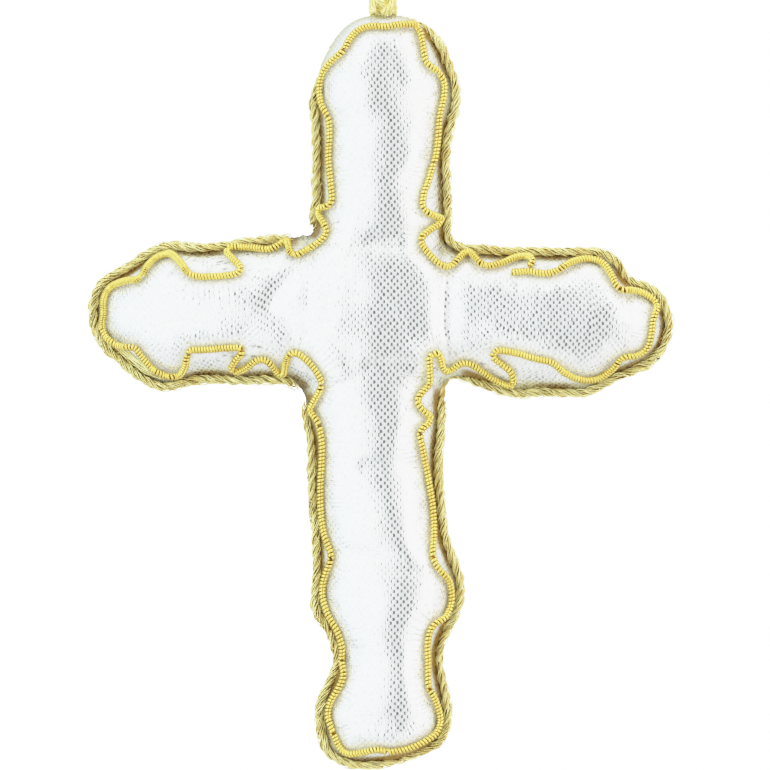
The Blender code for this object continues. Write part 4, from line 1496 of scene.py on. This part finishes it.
for piece in (plaited_loop, long_cord, left_cord):
    piece.data.materials.append(gold_cord)
strand_places = [place for strand in range(3) for place in plait_strand(loop_line(PLAIT_STEP), strand)]
mark_depth(plaited_loop, strand_places, *LOOP_DEPTHS)
mark_depth(long_cord, long_line, *CORD_DEPTHS)
mark_depth(left_cord, left_line, *CORD_DEPTHS)
for coil, line in coils:
    coil.data.materials.append(gold_purl)
    mark_depth(coil, line, *PURL_DEPTHS)
print("gold on", 3 + len(coils), "pieces")

# %% [markdown]
# A pale floor lies well below the hanging cross. It is kept out of mirrors, so that it doesn't
# fill the dark gap of the studio from below.

# %% Floor
FLOOR_BELOW = 0.6
FLOOR_SIDE = 6.0


def make_floor():
    """The pale floor, kept out of mirrors."""
    body = bmesh.new()
    bmesh.ops.create_grid(body, x_segments=1, y_segments=1, size=FLOOR_SIDE / 2)
    bmesh.ops.translate(body, verts=body.verts, vec=(0, 0, -FLOOR_BELOW))
    mesh = bpy.data.meshes.new("floor")
    body.to_mesh(mesh)
    body.free()
    floor = bpy.data.objects.new("floor", mesh)
    bpy.context.scene.collection.objects.link(floor)
    floor.visible_glossy = False
    material, bench = new_material("pale_floor")
    place = bench.place("ShaderNodeTexCoord").outputs["Object"]
    mottle = bench.noise(place, 6.0, 4.0).outputs["Fac"]
    colour = bench.blend(mottle, (0.86, 0.86, 0.85, 1), (0.92, 0.92, 0.91, 1))
    finish_material(bench, {"Base Color": colour, "Roughness": 0.7})
    mesh.materials.append(material)


make_floor()
print("floor", FLOOR_BELOW, "m below the hook")

# %% [markdown]
# The studio is two tall bright boxes, left and right of the camera, with a dark gap between
# them. A metal strip that faces the camera mirrors the gap and goes grey, and one that leans
# left or right mirrors a box, which is also where the pair of glints on each turn of purl comes
# from. Painted on the world by direction, it needs no lamps, and every piece mirrors it alike.

# %% Studio
GAP_LEFT = -10.0
GAP_RIGHT = 26.0
GAP_EDGE = 5.0
GAP_LIGHT = 0.23
GAP_MIDDLE = -0.05
GAP_TALL = 0.3
GAP_ENDS = 0.88
BOX_LIGHT = 1.75
BOX_END = 86.0
BOX_EDGE = 12.0
SIDE_LIGHT = 0.8
BEHIND_LIGHT = 1.0
TOP_LIGHT = 1.6
LOW_SHARE = 0.65
WHITE_LEVEL = 2.0


def make_studio():
    """The world: bright boxes and a dark gap for mirrors and light, plain white for the camera."""
    world = bpy.data.worlds.new("studio")
    world.use_nodes = True
    world.node_tree.nodes.clear()
    bench = Bench(world.node_tree)
    direction = bench.place("ShaderNodeTexCoord").outputs["Generated"]
    parts = bench.place("ShaderNodeSeparateXYZ", {0: direction}).outputs
    ahead = bench.math("MULTIPLY", parts["Y"], -1.0)
    turn = bench.math("DEGREES", bench.math("ARCTAN2", parts["X"], ahead))
    middle = bench.math("SUBTRACT", turn, (GAP_LEFT + GAP_RIGHT) / 2)
    half = (GAP_RIGHT - GAP_LEFT) / 2
    wall = bench.ramp(bench.math("ABSOLUTE", middle), half - GAP_EDGE, half + GAP_EDGE)
    aside = bench.math("ABSOLUTE", turn)
    box_light = bench.ramp(aside, BOX_END - BOX_EDGE, BOX_END + BOX_EDGE, BOX_LIGHT, SIDE_LIGHT)
    walls = bench.ramp(aside, 110.0, 140.0, box_light, BEHIND_LIGHT)
    height = bench.math("ABSOLUTE", bench.math("SUBTRACT", parts["Z"], GAP_MIDDLE))
    gap_light = bench.ramp(height, GAP_TALL, 0.9, GAP_LIGHT, GAP_ENDS)
    level = bench.ramp(wall, 0.0, 1.0, gap_light, walls)
    low = bench.ramp(parts["Z"], -0.8, -0.3, LOW_SHARE, 1.0)
    rise = bench.ramp(parts["Z"], 0.84, 0.95, 0.0, TOP_LIGHT)
    light = bench.math("MAXIMUM", bench.math("MULTIPLY", level, low), rise)
    side = bench.ramp(parts["X"], -0.8, 0.2)
    tint = bench.blend(side, (0.86, 0.96, 1.0, 1), (1.0, 0.985, 0.97, 1))
    around = bench.place("ShaderNodeBackground", {"Color": tint, "Strength": light})
    white = bench.place("ShaderNodeBackground", {"Color": (1, 1, 1, 1), "Strength": WHITE_LEVEL})
    seen = bench.place("ShaderNodeLightPath").outputs["Is Camera Ray"]
    chosen = bench.place("ShaderNodeMixShader", {0: seen, 1: around.outputs[0], 2: white.outputs[0]})
    bench.place("ShaderNodeOutputWorld", {"Surface": chosen.outputs[0]})
    bpy.context.scene.world = world


make_studio()
print("dark gap", GAP_RIGHT - GAP_LEFT, "degrees wide")

# %% [markdown]
# One large soft lamp round the camera fills the shadows of the purl and the creases.

# %% Front lamp
FRONT_SIZE = 0.6
FRONT_POWER = 2.0


def make_front_light():
    """A disk of light at the camera, kept out of mirrors, so that it only fills shadows."""
    lamp = bpy.data.lights.new("front_light", "AREA")
    lamp.shape = "DISK"
    lamp.size = FRONT_SIZE
    lamp.energy = FRONT_POWER
    holder = bpy.data.objects.new("front_light", lamp)
    holder.location = camera.location
    holder.rotation_euler = camera.rotation_euler
    holder.visible_glossy = False
    bpy.context.scene.collection.objects.link(holder)


make_front_light()
print("front lamp:", FRONT_SIZE, "m wide,", FRONT_POWER, "W")

# %% [markdown]
# A camera eases its bright tones off instead of clipping them, which keeps the detail of white
# cloth. The curve leaves the dark half as it is and bends the bright half gently.

# %% Soft tones
SHOULDER = ((0.25, 0.25), (0.5, 0.5), (0.8, 0.76), (1.0, 0.86), (1.25, 0.925), (1.6, 0.96))


def develop():
    """A soft shoulder for the bright tones, as a camera gives them."""
    view = bpy.context.scene.view_settings
    view.view_transform = "Standard"
    view.use_curve_mapping = True
    mapping = view.curve_mapping
    mapping.white_level = (WHITE_LEVEL, WHITE_LEVEL, WHITE_LEVEL)
    for level, shown in SHOULDER:
        mapping.curves[3].points.new(level / WHITE_LEVEL, shown)
    mapping.update()


develop()
print("tones up to", WHITE_LEVEL, "eased into white")
